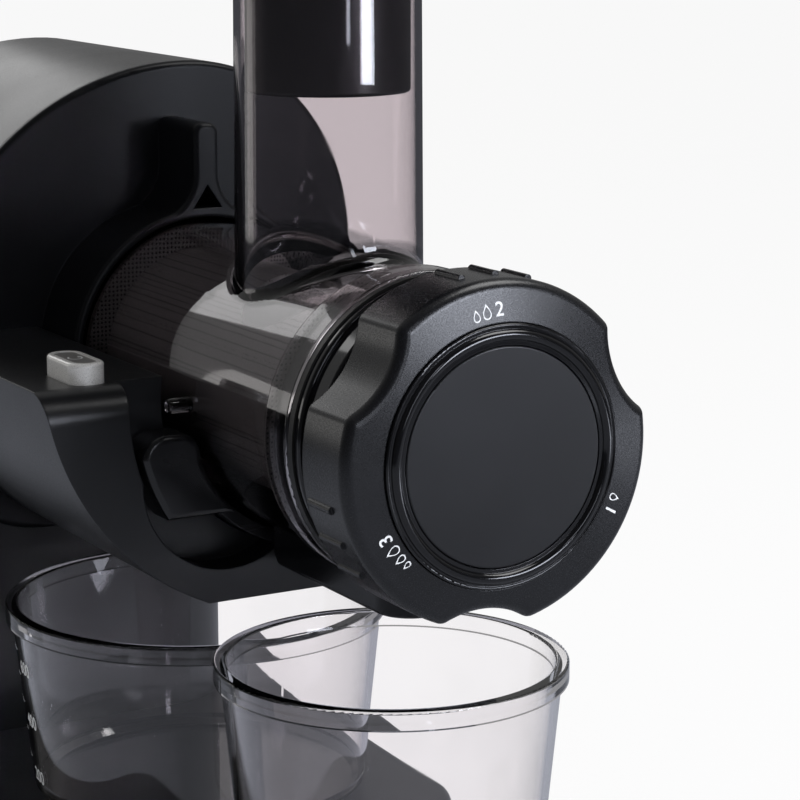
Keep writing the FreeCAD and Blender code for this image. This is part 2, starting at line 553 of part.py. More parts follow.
shaft_hole = rod("shaft_hole", "seal_r - wall", "2 * wall", "shell_front - over", "axis_y", "axis_z")
front = cut("front_cut", fuse("front_fused", cover, collar, fin, *cover_bosses), collar_hole, shaft_hole,
            fin_slot, *cover_taps)
node("front_cover", soften_part("front_soft", front, "face_round / 2",
     lambda edge: is_rim(edge, size("collar_bore"), size("collar_front"))))
node("cover_seal", tube("cover_seal_ring", "seal_r - wall", "shaft_r + fit", "face_x - shell_front",
                        "shell_front", "axis_y", "axis_z"))

# Cradle and shoulder


def cradle_outline(inset):
    return [(f"shoulder_left + {inset}", f"shoulder_z - {inset}", f"arc_low - {inset}"),
            (f"floor_left + {inset} / 3", f"floor_z + {inset}"),
            (f"floor_right - {inset} / 3", f"floor_z + {inset}", f"arc_low_right - {inset}"),
            (f"side_right - {inset}", "side_right_low"), (f"side_right - {inset}", f"shoulder_z - {inset}")]


cradle = new_body("cradle")
pad(cradle, sketch_on(cradle, "YZ_Plane", cradle_outline("0"), "face_x"), "cradle_front - face_x")
soften(cradle, "shoulder_round", lambda edge: flat_in_x(edge, size("cradle_front"))
       and edge.BoundBox.ZMin > size("shoulder_z") - 1e-3)
hollow = new_body("hollow")
pad(hollow, sketch_on(hollow, "YZ_Plane", cradle_outline("wall"), "face_x - over"),
    "hollow_front - face_x + over")
core = rod("hollow_core", "trough_r + wall", "cradle_front - face_x", "face_x - 2 * over", "axis_y", "axis_z")
spout_core = rod("spout_core", "spout_r + wall", "axis_z - floor_z", "spout_x", "axis_y", "floor_z", UPRIGHT)
cavity = cut("cradle_cavity", hollow, core, spout_core)
trough = rod("trough", "trough_r", "cradle_front - face_x + 2 * over", "face_x - over", "axis_y", "axis_z")
recess = arc_band("recess", "trough_r - over", "recess_r", "recess_back", "cradle_front - recess_back + over",
                  "recess_from", "recess_to")
recess_low = rod("recess_low", "recess_low_r", "cradle_front - recess_back + over", "recess_back",
                 "axis_y + recess_low_y", "axis_z + recess_low_z")
spout_hole = rod("spout_hole", "spout_r", "axis_z - floor_z", "spout_x", "axis_y", "floor_z - over", UPRIGHT)
button_well = stadium_solid("button_well", "button_x", "button_y", "button_long + 2 * button_gap",
                            "button_wide + 2 * button_gap", "shoulder_z - well_deep", "well_deep + over")
switch_well = block("switch_well", "button_x - board_long / 2 - over", "button_y - switch_side", "board_z",
                    "board_long / 2 + switch_side + over", "2 * switch_side",
                    "shoulder_z - well_deep - board_z + over")
node("drum_cradle", cut("cradle_cut", cradle, cavity, trough, recess, recess_low, spout_hole, button_well,
                        switch_well))
juice_tube = tube("juice_tube", "spout_r", "spout_bore", "axis_z - spout_low - gate_out", "spout_x", "axis_y",
                  "spout_low", UPRIGHT)
node("juice_spout", cut("juice_spout_cut", juice_tube,
                        rod("juice_tube_top", "trough_r - spout_shy", "2 * spout_r + 2 * over",
                            "spout_x - spout_r - over", "axis_y", "axis_z")))

# Run button, its switch and board

cap_stad = stadium_solid("button_cap", "button_x", "button_y", "button_long", "button_wide",
                         "shoulder_z - button_gap", "button_proud + button_gap")
soften(cap_stad, "inlay_edge / 2", lambda edge: flat_in_z(edge, size("shoulder_z") + size("button_proud")))
button_foot = rod("button_foot", "button_stem / 2", "button_gap + switch_high", "button_x", "button_y",
                  "shoulder_z - 2 * button_gap - switch_high", UPRIGHT)
inlay_seat = stadium_solid("inlay_seat", "button_x", "button_y", "button_long - 2 * inlay_edge",
                           "button_wide - 2 * inlay_edge", "shoulder_z + button_proud - inlay_deep",
                           "inlay_deep + over")
node("run_button", cut("button", fuse("button_fused", cap_stad, button_foot), inlay_seat))
node("button_inlay", stadium_solid("inlay", "button_x", "button_y",
                                   "button_long - 2 * inlay_edge - screw_play",
                                   "button_wide - 2 * inlay_edge - screw_play",
                                   "shoulder_z + button_proud - inlay_deep", "inlay_thick"))
node("button_board", block("board", "button_x - board_long / 2", "button_y - switch_side + button_gap",
                           "board_z", "board_long / 2 + switch_side", "2 * switch_side - 2 * button_gap",
                           "board_thick"))
switch_case = block("switch_case", "button_x - switch_side / 2", "button_y - switch_side / 2",
                    "board_z + board_thick", "switch_side", "switch_side",
                    "shoulder_z - well_deep - board_z - board_thick")
node("button_switch", switch_case)
node("button_dome", rod("dome", "dome_r", "well_deep - 2 * button_gap - switch_high - fit", "button_x",
                        "button_y", "shoulder_z - well_deep", UPRIGHT))

# Drum with its feed chute

barrel = new_body("barrel", "0", "axis_y", "axis_z")
lathe(barrel, [("drum_back", "0"), ("drum_front", "0"), ("drum_front", "-ring_r"), ("ring_back", "-ring_r"),
               ("ring_back - ring_bevel", "-drum_r"), ("guide_front", "-drum_r"),
               ("guide_front - guide_edge", "-guide_r"), ("drum_back", "-guide_r")])
soften(barrel, "rib_proud", lambda edge: is_rim(edge, size("ring_r"), size("drum_front"))
       or is_rim(edge, size("ring_r"), size("ring_back")))
chute = new_body("chute", "chute_x", "axis_y", "0")
lathe(chute, [("0", "chute_root"), ("chute_r", "chute_root"), ("chute_top_r", "chute_top"),
              ("0", "chute_top")], "V_Axis")
drum_solid = fuse("drum_solid", barrel, chute)


def on_saddle(edge):
    """Edges where the chute grows out of the drum."""
    box, reach = edge.BoundBox, size("chute_r") + 2 * size("over")
    return (box.ZMin > size("axis_z") + size("saddle_low")
            and box.ZMax < size("axis_z") + size("drum_r") + size("over")
            and box.XMin > size("chute_x") - reach and box.XMax < size("chute_x") + reach)


drum_soft = soften_part("drum_soft", drum_solid, "saddle_round", on_saddle)
barrel_bore = rod("barrel_bore", "drum_r - drum_wall", "drum_front - drum_back", "drum_back + drum_floor",
                  "axis_y", "axis_z")
chute_bore = new_body("chute_bore", "chute_x", "axis_y", "0")
lathe(chute_bore, [("0", "axis_z"), ("chute_r - chute_wall", "axis_z"),
                   ("chute_top_r - chute_wall", "chute_top + over"), ("0", "chute_top + over")], "V_Axis")
shank_hole = rod("shank_hole", "shank_r + fit", "2 * drum_floor", "drum_back - over", "axis_y", "axis_z")
outlet = rod("outlet", "outlet_r", "drum_r + 2 * over", "spout_x", "axis_y", "axis_z - drum_r - 2 * over",
             UPRIGHT)
window = block("pulp_window", "window_back", "axis_y - window_half", "axis_z - ring_r - over",
               "drum_front - window_back - cone_back_r / 2", "2 * window_half", "ring_r / 2")
lug_rod = rod("lug_rod", "lug_r", "lug_reach - drum_r + drum_wall / 2", "lug_x", "axis_y - lug_reach",
              "axis_z", ALONG_Y)
lug = soften_part("lug", lug_rod, "lug_round",
                  lambda edge: edge.BoundBox.YMax < size("axis_y") - size("lug_reach") + 1e-3)
node("juicing_drum", cut("drum", fuse("drum_lugged", drum_soft, lug), barrel_bore, chute_bore, shank_hole,
                         outlet, window))

# Auger, screen and shaft seal

screw = new_body("auger_body", "0", "axis_y", "axis_z")
lathe(screw, [("auger_back", "0"), ("nose_front", "0"), ("nose_front", "nose_r"), ("core_front", "nose_r"),
              ("core_front", "core_front_r"), ("auger_disc + auger_disc_thick", "core_back_r"),
              ("auger_disc + auger_disc_thick", "auger_disc_r"), ("auger_disc", "auger_disc_r"),
              ("auger_disc", "shank_r"), ("auger_back", "shank_r")])
flight_outline = sketch_on(screw, "XZ_Plane", [("flight_back", "core_back_r - flight_sink"),
                                               ("flight_back + flight_root", "core_back_r - flight_sink"),
                                               ("flight_back + flight_root / 2 + flight_tip / 2", "flight_r"),
                                               ("flight_back + flight_root / 2 - flight_tip / 2",
                                                "flight_r")])
flight = screw.newObject("PartDesign::AdditiveHelix", "flight")
flight.Profile = flight_outline
flight.ReferenceAxis = (flight_outline, ["H_Axis"])
flight.Mode = 0
bind(flight, "Pitch", "flight_pitch")
bind(flight, "Height", "flight_long")
screw.Tip = flight
doc.recompute()


def hexagon(flat):
    corner = f"({flat}) / sqrt(3)"
    return [(f"{corner} * cos({angle})", f"{corner} * sin({angle})") for angle in range(0, 360, 60)]


pocket(screw, sketch_on(screw, "YZ_Plane", hexagon("hex_flat + hex_play"), "auger_back"),
       "socket_front - auger_back", True)
node("auger", screw)

sieve = new_body("sieve", "0", "axis_y", "axis_z")
lathe(sieve, [("screen_back", "screen_bore"), ("screen_front", "screen_bore"), ("screen_front", "rim_r"),
              ("screen_front - rim_thick", "rim_r"), ("screen_front - rim_thick", "screen_r"),
              ("screen_back + rim_thick", "screen_r"), ("screen_back + rim_thick", "rim_r"),
              ("screen_back", "rim_r")])
feed_hole = rod("feed_hole", "feed_r", "drum_r", "chute_x", "axis_y", "axis_z", UPRIGHT)
slots = []
for row in range(int(size("slot_rows"))):
    swing = (row - (size("slot_rows") - 1) / 2) * size("slot_step")
    for file in range(int(size("slot_files"))):
        slot = block(f"slot{row}_{file}", f"screen_back + 2 * rim_thick + {file} * (slot_long + rim_thick)",
                     "0", "0", "slot_long", "slot_wide", "rim_r")
        turn = FreeCAD.Rotation(V(1, 0, 0), 180 + swing)
        slot.Placement = FreeCAD.Placement(V(slot.Placement.Base.x, size("axis_y"), size("axis_z")), turn)
        bind(slot, "Placement.Base.y", "axis_y")
        bind(slot, "Placement.Base.z", "axis_z")
        slots.append(slot)
pulp_gap = block("pulp_gap", "screen_front - rim_thick - over", "axis_y - window_half",
                 "axis_z - rim_r - over", "rim_thick + 2 * over", "2 * window_half",
                 "rim_r - screen_r + over / 2")
node("juicing_screen", cut("screen", sieve, feed_hole, pulp_gap, *slots))
node("shaft_seal", tube("shaft_seal_ring", "seal_r", "shank_r + fit", "seal_thick", "drum_back + drum_floor",
                        "axis_y", "axis_z"))

# End cap, pressure cone, dial

cap = new_body("cap", "0", "axis_y", "axis_z")
lathe(cap, [("plug_back", "plug_bore"), ("cap_wall", "plug_bore"), ("cap_wall", "spindle_r + fit"),
            ("hub_front", "spindle_r + fit"), ("hub_front", "hub_r"), ("cap_front", "hub_r"),
            ("cap_front", "cap_body_r"), ("cap_body", "cap_body_r"), ("cap_body", "cap_flange_r"),
            ("cap_flange + ring_seal_wide", "cap_flange_r"),
            ("cap_flange + ring_seal_wide", "plug_r + seal_land"), ("cap_flange", "plug_r + seal_land"),
            ("cap_flange", "plug_r"), ("plug_back", "plug_r")])
soften(cap, "rib_proud", lambda edge: is_rim(edge, size("cap_flange_r"), size("cap_body"))
       or is_rim(edge, size("cap_body_r"), size("cap_front")))
cap_window = block("cap_window", "plug_back - over", "axis_y - window_half", "axis_z - ring_r - over",
                   "cap_flange - plug_back - over", "2 * window_half", "ring_r / 2")
node("end_cap", cut("cap_cut", cap, cap_window))
node("cap_seal", tube("cap_seal_ring", "ring_seal_r", "plug_r + seal_land + fit", "ring_seal_wide - fit",
                      "cap_flange", "axis_y", "axis_z"))
cone = new_body("cone", "0", "axis_y", "axis_z")
lathe(cone, [("cone_back", "nose_r + fit"), ("journal_deep", "nose_r + fit"), ("journal_deep", "0"),
             ("spindle_front", "0"), ("spindle_front", "spindle_r"), ("cone_end", "spindle_r"),
             ("cone_end", "cone_r"), ("cone_front", "cone_r"), ("cone_back", "cone_back_r")])
node("pressure_cone", cone)

knob = new_body("knob", "0", "axis_y", "axis_z")
lathe(knob, [("dial_back", "dial_cavity_r"), ("dial_cavity", "dial_cavity_r"), ("dial_cavity", "dial_hub_r"),
             ("dial_hub_deep", "dial_hub_r"), ("dial_hub_deep", "hub_r + fit"),
             ("dial_cavity", "hub_r + fit"), ("dial_cavity", "0"), ("dial_seat", "0"),
             ("dial_seat", "dial_ring_r"), ("dial_rise", "dial_ring_r"), ("dial_edge", "dial_r"),
             ("dial_back", "dial_r")])
lobe_turns = (60, 180, 300)
scallops = []
for number, angle in enumerate(lobe_turns):
    scallop = rod(f"scallop{number}", "scallop_r", "dial_rise - dial_back + 4 * over", "dial_back - 2 * over",
                  f"axis_y + scallop_at * sin({angle} + dial_turn)",
                  f"axis_z + scallop_at * cos({angle} + dial_turn)")
    scallops.append(scallop)
lobes = cut("dial_lobes", knob, *scallops)


def from_axis(y, z):
    return math.hypot(y - size("axis_y"), z - size("axis_z"))


def lobe_corner(edge):
    """Edges along the drum where a lobe meets a scallop."""
    box = edge.BoundBox
    return (box.XLength > size("dial_round") and box.YLength < 1e-3 and box.ZLength < 1e-3
            and from_axis(box.Center.y, box.Center.z) > size("dial_r") - size("over"))


lobes_soft = soften_part("dial_corners", lobes, "scallop_round", lobe_corner)
doc.recompute()


def dial_front_rim(edge):
    near = min(from_axis(corner.Point.y, corner.Point.z) for corner in edge.Vertexes)
    return edge.BoundBox.XMin > size("dial_edge") - size("over") and near > size("dial_ring_r") + size("over")


dial_soft = soften_part("dial_soft", lobes_soft, "dial_round", dial_front_rim)
ribs = []
for lobe in range(3):
    for rib in range(3):
        angle = f"{lobe * 120} + dial_turn + {rib - 1} * rib_pitch"
        ribs.append(rod(f"rib{lobe}_{rib}", "rib_wide / 2", "rib_long", "rib_back",
                        f"axis_y + (dial_r - rib_wide / 2 + rib_proud) * sin({angle})",
                        f"axis_z + (dial_r - rib_wide / 2 + rib_proud) * cos({angle})"))
node("pulp_dial", fuse("dial", dial_soft, *ribs))
trim = new_body("trim", "0", "axis_y", "axis_z")
bead_foot = "trim_front - bead_r + sqrt(bead_r ^ 2 - bead_wide ^ 2 / 4)"
bead_in = "trim_bore + groove_wide"
lathe(trim, [("dial_seat", "trim_bore"), (bead_foot, "trim_bore"), (bead_foot, bead_in, "bead_r"),
             (bead_foot, f"{bead_in} + bead_wide"), (bead_foot, "trim_r - rim_bead", "rim_bead_r"),
             (bead_foot, "trim_r"), ("dial_seat", "trim_r")])
node("dial_trim", trim)
disc = rod("disc", "disc_r", "disc_front - dial_seat", "dial_seat", "axis_y", "axis_z")
node("dial_disc", soften_part("disc_soft", disc, "disc_round",
                              lambda edge: is_rim(edge, size("disc_r"), size("disc_front"))))

# Pulp spout and juice gate


def chin_plan(name, back, front, half, nose, low, high):
    """An upright slab, square at the back and round-cornered at the front."""
    body = new_body(name, "0", "axis_y", "0")
    pad(body, sketch_on(body, "XY_Plane", [(back, f"-({half})"), (f"{front} - ({nose})", f"-({half})", nose),
                                           (front, f"-({half}) + {nose}"),
                                           (front, f"{half} - ({nose})", nose), (f"{front} - ({nose})", half),
                                           (back, half)], low), f"{high} - {low}")
    return body


chin_side = new_body("chin_side", "0", "axis_y + pulp_half", "0")
pad(chin_side, sketch_on(chin_side, "XZ_Plane",
                         [("pulp_back", "axis_z - drum_r / 2"), ("pulp_back", "pulp_low + pulp_heel"),
                          ("pulp_back + pulp_heel", "pulp_low - over"),
                          ("pulp_front + over", "pulp_low - over"),
                          ("pulp_front + over", "axis_z - drum_r / 2")]), "2 * pulp_half")
chin_outside = chin_plan("chin_outside", "pulp_back", "pulp_front", "pulp_half", "pulp_nose",
                         "pulp_low", "axis_z - drum_r / 2")
soften(chin_outside, "pulp_round", lambda edge: flat_in_z(edge, size("pulp_low"))
       and not flat_in_x(edge, size("pulp_back")))
chin_hole = chin_plan("chin_hole", "pulp_open", "pulp_front - pulp_wall", "pulp_half - pulp_wall",
                      "pulp_nose - pulp_wall", "pulp_low - over", "axis_z - drum_r / 2")
chin_drum = rod("chin_drum", "drum_r", "ring_back - pulp_back", "pulp_back - over", "axis_y", "axis_z")
chin_ring = rod("chin_ring", "ring_r + pulp_clear", "dial_back", "ring_back - ring_bevel - pulp_clear",
                "axis_y", "axis_z")
chin = doc.addObject("Part::MultiCommon", "chin")
chin.Shapes = [chin_side, chin_outside]
node("pulp_spout", cut("chin_cut", chin, chin_drum, chin_ring, chin_hole))

gate_plate = arc_band("gate_plate", "gate_in", "gate_out", "gate_back", "lever_back - gate_back + over",
                      "gate_from", "gate_to")
lever_arc = arc_band("lever_arc", "gate_in", "lever_out", "lever_back", "lever_front - lever_back",
                     "lever_from", "gate_to")
lever_tab = new_body("lever_tab", "0", "axis_y", "axis_z")
on_arc = lambda radius, level: f"-sqrt(({radius}) ^ 2 - ({level}) ^ 2)"
pad(lever_tab, sketch_on(lever_tab, "YZ_Plane", [(on_arc("tab_in", "tab_foot"), "tab_foot", "-tab_in"),
                                                 (on_arc("tab_in", "tab_neck"), "tab_neck", "tab_corner"),
                                                 ("tab_top_in", "tab_top"),
                                                 ("tab_top_out", "tab_top", "tab_corner"),
                                                 (on_arc("tab_out", "tab_side"), "tab_side", "tab_out"),
                                                 (on_arc("tab_out", "tab_foot"), "tab_foot")],
                         "lever_back + over"), "tab_front - lever_back - over")
soften(lever_tab, "tab_round", lambda edge: flat_in_x(edge, size("tab_front")))
gate_hole = rod("gate_hole", "outlet_r", "drum_r", "spout_x", "axis_y", "axis_z - trough_r", UPRIGHT)
node("juice_gate", cut("gate", fuse("gate_fused", gate_plate, lever_arc, lever_tab), gate_hole))

# Feed tray and pusher

tray = new_body("tray", "chute_x", "axis_y", "0")
pad(tray, sketch_on(tray, "XY_Plane", rounded_box("-tray_long / 2", "tray_long / 2", "-tray_wide / 2",
                                                  "tray_wide / 2", "tray_wide / 2 - tray_flat"),
                    "tray_floor"), "tray_rim - tray_floor")
soften(tray, "tray_round", lambda edge: flat_in_z(edge, size("tray_floor")))
tray_in = new_body("tray_in", "chute_x", "axis_y", "0")
pad(tray_in,
    sketch_on(tray_in, "XY_Plane", rounded_box("(-tray_long / 2 + tray_wall)", "(tray_long / 2 - tray_wall)",
                                               "(-tray_wide / 2 + tray_wall)", "(tray_wide / 2 - tray_wall)",
                                               "(tray_wide / 2 - tray_flat - tray_wall)"),
              "tray_floor + tray_thick"), "tray_rim - tray_floor")
soften(tray_in, "tray_round - tray_wall",
       lambda edge: flat_in_z(edge, size("tray_floor") + size("tray_thick")))
sleeve = rod("sleeve", "chute_r + sleeve_wall", "tray_floor - sleeve_low + over", "chute_x", "axis_y",
             "sleeve_low", UPRIGHT)
sleeve_bore = rod("sleeve_bore", "chute_r - sleeve_taper", "tray_floor - sleeve_low", "chute_x", "axis_y",
                  "sleeve_low", UPRIGHT)
mouth = rod("mouth", "chute_top_r - chute_wall", "tray_rim - sleeve_low", "chute_x", "axis_y", "sleeve_low",
            UPRIGHT)
node("feed_tray", cut("tray_cut", fuse("tray_sleeved", cut("tray_pan", tray, tray_in), sleeve), sleeve_bore,
                      mouth))
plunger = new_body("plunger", "chute_x", "axis_y", "0")
lathe(plunger, [("0", "pusher_low"), ("pusher_r", "pusher_low"),
                ("pusher_r", "tray_floor + tray_thick + pusher_rest"),
                ("pusher_flange_r", "tray_floor + tray_thick + pusher_rest"),
                ("pusher_flange_r", "tray_floor + tray_thick + pusher_rest + pusher_flange"),
                ("pusher_grip_r", "tray_floor + tray_thick + pusher_rest + 2 * pusher_flange"),
                ("pusher_grip_r", "pusher_top - lid_thick"),
                ("pusher_grip_r - pusher_wall", "pusher_top - lid_thick"),
                ("pusher_grip_r - pusher_wall", "pusher_low + pusher_wall"),
                ("0", "pusher_low + pusher_wall")], "V_Axis")
soften(plunger, "pusher_wall / 2", lambda edge: flat_in_z(edge, size("pusher_low")))
node("food_pusher", plunger)
lid = new_body("lid", "chute_x", "axis_y", "0")
lathe(lid, [("0", "pusher_top - 2 * lid_thick"),
            ("pusher_grip_r - pusher_wall - fit", "pusher_top - 2 * lid_thick"),
            ("pusher_grip_r - pusher_wall - fit", "pusher_top - lid_thick"),
            ("pusher_grip_r + lid_over", "pusher_top - lid_thick"),
            ("pusher_grip_r + lid_over", "pusher_top - lid_edge"), ("pusher_grip_r", "pusher_top"),
            ("0", "pusher_top")], "V_Axis")
node("pusher_lid", lid)

# Cups


def cup(name, x, y, rim_r, rim, low, foot_r):
    body = new_body(name, x, y, "0")
    side_r = f"{rim_r} - lip_step"
    lathe(body, [("0", low), (f"{foot_r} - cup_heel", low), (foot_r, f"{low} + cup_heel"),
                 (side_r, f"{rim} - lip_high"), (rim_r, f"{rim} - lip_high"), (rim_r, rim),
                 (f"{side_r} - cup_wall", rim), (f"{foot_r} - cup_wall", f"{low} + cup_heel + cup_floor"),
                 (f"{foot_r} - cup_heel - cup_wall", f"{low} + cup_floor"), ("0", f"{low} + cup_floor")],
          "V_Axis")
    soften(body, "cup_wall / 2.5", lambda edge: flat_in_z(edge, value_of(rim)))
    return body


node("juice_cup", cup("juice_jug", "juice_x", "juice_y", "juice_rim_r", "juice_rim", "juice_low",
                      "juice_foot_r"))
node("pulp_cup", cup("pulp_jug", "pulp_x", "pulp_y", "pulp_rim_r", "pulp_rim", "0", "pulp_foot_r"))

# Drive

plate_posts = ring_points("post_at", (45, 110, 192, 320))
post_holes = lambda tag, x: [rod(f"{tag}_post_hole{n}", "screw_r + screw_play", "plate_thick + 2 * over",
                                 f"{x} - over", y, z) for n, (y, z) in enumerate(plate_posts)]
fore_disc = rod("fore_disc", "plate_r", "plate_thick", "plate_fore - plate_thick", "plate_y", "plate_z")
through_plate = lambda name, radius, face, y, z: rod(name, radius, "2 * plate_thick",
                                                     f"{face} - 1.5 * plate_thick", y, z)
fore_holes = [through_plate("fore_bearing_hole", "bearing_r", "plate_fore", "axis_y", "axis_z"),
              through_plate("fore_pin_hole", "pin_lay_r", "plate_fore", "lay_y", "lay_z")]
fore_holes += [rod(f"fore_cover_hole{n}", "screw_r + screw_play", "plate_thick + 2 * over",
                   "plate_fore - plate_thick - over", y, z) for n, (y, z) in enumerate(cover_spots)]
node("gear_plate_front", cut("fore_plate", fore_disc, *fore_holes,
                             *post_holes("fore", "plate_fore - plate_thick")))
rear_disc = rod("rear_disc", "plate_r", "plate_thick", "plate_rear - plate_thick", "plate_y", "plate_z")
rear_holes = [through_plate("rear_bearing_hole", "bearing_r", "plate_rear", "axis_y", "axis_z"),
              through_plate("rear_pin_hole", "pin_lay_r", "plate_rear", "lay_y", "lay_z"),
              through_plate("rear_motor_hole", "motor_bush_r + bush_clear", "plate_rear", "motor_y",
                            "motor_z")]
node("gear_plate_rear", cut("rear_plate", rear_disc, *rear_holes,
                            *post_holes("rear", "plate_rear - plate_thick")))
posts = [tube(f"post{n}", "post_r", "screw_r + screw_play", "plate_fore - plate_thick - plate_rear",
              "plate_rear", y, z) for n, (y, z) in enumerate(plate_posts)]
node("plate_posts", fuse("post_set", *posts))
node("post_screws_front", cheese_screws("fore_screws", "plate_fore", -1, plate_posts))
node("post_screws_rear", cheese_screws("rear_screws", "plate_rear - plate_thick", 1, plate_posts))
node("cover_screws", cheese_screws("cover_screws", "plate_fore - plate_thick", 1, cover_spots))
node("layshaft_pin", rod("lay_pin", "pin_lay_r", "plate_fore - plate_rear + plate_thick",
                         "plate_rear - plate_thick", "lay_y", "lay_z"))
node("bearing_front", tube("fore_bearing", "bearing_r", "shaft_r + fit", "bearing_long",
                           "plate_fore - plate_thick / 2 - bearing_long / 2", "axis_y", "axis_z"))
node("bearing_rear", tube("rear_bearing", "bearing_r", "shaft_r + fit", "bearing_long",
                          "plate_rear - plate_thick / 2 - bearing_long / 2", "axis_y", "axis_z"))

mesh_out = math.degrees(math.atan2(size("lay_z") - size("axis_z"), size("lay_y") - size("axis_y")))
mesh_motor = math.degrees(math.atan2(size("motor_z") - size("lay_z"), size("motor_y") - size("lay_y")))
node("output_gear", spur_gear("out_gear", "teeth_out", "gear_out_module", mesh_out, "out_gear_wide",
                              "shaft_r", "out_gear_back", "axis_y", "axis_z"))
lay_pinion = spur_gear("lay_pinion", "teeth_lay_pinion", "gear_out_module",
                       mesh_out + 180 + 180 / size("teeth_lay_pinion"), "lay_pinion_wide", "pin_lay_r + fit",
                       "lay_pinion_back", "lay_y", "lay_z")
lay_gear = spur_gear("lay_gear", "teeth_lay_gear", "gear_lay_module", mesh_motor, "lay_gear_wide",
                     "pin_lay_r + fit", "lay_gear_back", "lay_y", "lay_z")
node("compound_gear", fuse("compound", lay_pinion, lay_gear))
node("motor_pinion", spur_gear("pinion", "teeth_motor", "gear_lay_module",
                               mesh_motor + 180 + 180 / size("teeth_motor"), "pinion_wide", "motor_shaft_r",
                               "pinion_back", "motor_y", "motor_z"))
shaft_round = rod("shaft_round", "shaft_r", "shaft_shoulder - shaft_back", "shaft_back", "axis_y", "axis_z")
shaft_hex = new_body("shaft_hex", "0", "axis_y", "axis_z")
pad(shaft_hex, sketch_on(shaft_hex, "YZ_Plane", hexagon("hex_flat"), "shaft_shoulder - over"),
    "shaft_front - shaft_shoulder + over")
node("output_shaft", fuse("drive_shaft", shaft_round, shaft_hex))

can_out = rod("can_out", "motor_r", "plate_rear - plate_thick - motor_back", "motor_back", "motor_y",
              "motor_z")
can_in = rod("can_in", "motor_r - motor_wall", "plate_rear - plate_thick - motor_back - motor_wall",
             "motor_back", "motor_y", "motor_z")
can_bush = rod("can_bush", "motor_bush_r", "2 * motor_wall", "plate_rear - plate_thick - 1.5 * motor_wall",
               "motor_y", "motor_z")
node("motor_can", cut("can", can_out, can_in, can_bush))
node("motor_bell", tube("bell", "motor_r", "motor_bush_r", "bell_thick", "motor_back - bell_thick", "motor_y",
                        "motor_z"))
node("motor_bush_front", tube("bush_fore", "motor_bush_r", "motor_shaft_r + fit", "motor_wall",
                              "plate_rear - plate_thick - motor_wall", "motor_y", "motor_z"))
node("motor_bush_rear", tube("bush_rear", "motor_bush_r", "motor_shaft_r + fit", "bell_thick",
                             "motor_back - bell_thick", "motor_y", "motor_z"))
magnet_ring = tube("magnet_ring", "motor_r - motor_wall", "magnet_in", "rotor_front - rotor_back",
                   "rotor_back", "motor_y", "motor_z")
magnet_gap = block("magnet_gap", "rotor_back - over", "motor_y - motor_r", "motor_z - motor_wall",
                   "rotor_front - rotor_back + 2 * over", "2 * motor_r", "2 * motor_wall")
node("motor_magnets", cut("magnets", magnet_ring, magnet_gap))
node("motor_rotor", fuse("rotor", rod("armature", "rotor_r", "rotor_front - rotor_back", "rotor_back",
                                      "motor_y", "motor_z"),
                         rod("motor_shaft", "motor_shaft_r", "motor_shaft_front - motor_shaft_back",
                             "motor_shaft_back", "motor_y", "motor_z")))
fan_hub = rod("fan_hub", "fan_hub_r", "fan_wide", "fan_back", "motor_y", "motor_z")
blades = []
for number in range(int(size("fan_blades"))):
    blade = block(f"blade{number}", "fan_back", "motor_y", "motor_z", "fan_wide", "fan_r", "blade_thick")
    spin = FreeCAD.Rotation(V(1, 0, 0), 360 * number / size("fan_blades"))
    blade.Placement = FreeCAD.Placement(blade.Placement.Base, spin)
    blades.append(blade)
node("cooling_fan", cut("fan", fuse("fan_blades_set", fan_hub, *blades),
                        rod("fan_bore", "motor_shaft_r", "fan_wide", "fan_back", "motor_y", "motor_z")))
node("control_board", block("main_board", "main_board_x - main_board_long / 2", "-main_board_wide / 2",
                            "base_top + 2 * screw_long", "main_board_long", "main_board_wide", "board_thick"))

doc.recompute()
broken = [obj.Name for obj in doc.Objects if {"Invalid", "Error"} & set(obj.State)]
for label, obj in nodes.items():
    if obj.Shape.isNull() or not obj.Shape.isValid() or not obj.Shape.Solids:
        broken.append(label)
if broken:
    raise RuntimeError(f"features that did not build: {broken}")

os.makedirs(OUT_DIR, exist_ok=True)
for label, obj in nodes.items():
    obj.Shape.exportStep(os.path.join(OUT_DIR, f"{label}.step"))
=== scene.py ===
"""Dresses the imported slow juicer: finishes, printed marks, studio and camera."""

import json
import math

import bmesh
import bpy
from bpy.props import FloatProperty, FloatVectorProperty, PointerProperty
from mathutils import Matrix, Vector


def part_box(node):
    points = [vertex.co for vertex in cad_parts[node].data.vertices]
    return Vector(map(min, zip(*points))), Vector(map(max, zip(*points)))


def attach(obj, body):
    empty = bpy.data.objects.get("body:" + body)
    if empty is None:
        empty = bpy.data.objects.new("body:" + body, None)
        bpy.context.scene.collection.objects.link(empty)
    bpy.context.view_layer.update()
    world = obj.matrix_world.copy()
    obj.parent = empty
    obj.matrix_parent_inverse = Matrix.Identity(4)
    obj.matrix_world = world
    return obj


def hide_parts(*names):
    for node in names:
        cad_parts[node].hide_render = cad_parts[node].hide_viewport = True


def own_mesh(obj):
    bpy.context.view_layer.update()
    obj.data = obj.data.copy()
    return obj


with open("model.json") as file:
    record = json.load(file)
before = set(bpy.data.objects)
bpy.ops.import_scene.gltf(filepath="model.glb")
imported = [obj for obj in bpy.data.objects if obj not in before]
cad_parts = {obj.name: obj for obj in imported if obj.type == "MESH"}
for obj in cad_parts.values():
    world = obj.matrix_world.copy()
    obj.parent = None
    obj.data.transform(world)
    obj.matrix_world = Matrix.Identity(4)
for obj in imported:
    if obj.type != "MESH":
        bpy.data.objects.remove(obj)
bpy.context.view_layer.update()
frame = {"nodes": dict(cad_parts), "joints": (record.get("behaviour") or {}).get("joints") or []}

bl_info = {
    "name": "Slow juicer dressing",
    "version": (1, 0, 0),
    "blender": (4, 5, 0),
    "location": "View3D > Sidebar > Juicer",
    "description": "Finishes, marks and studio for the packed slow juicer",
    "category": "Object",
}

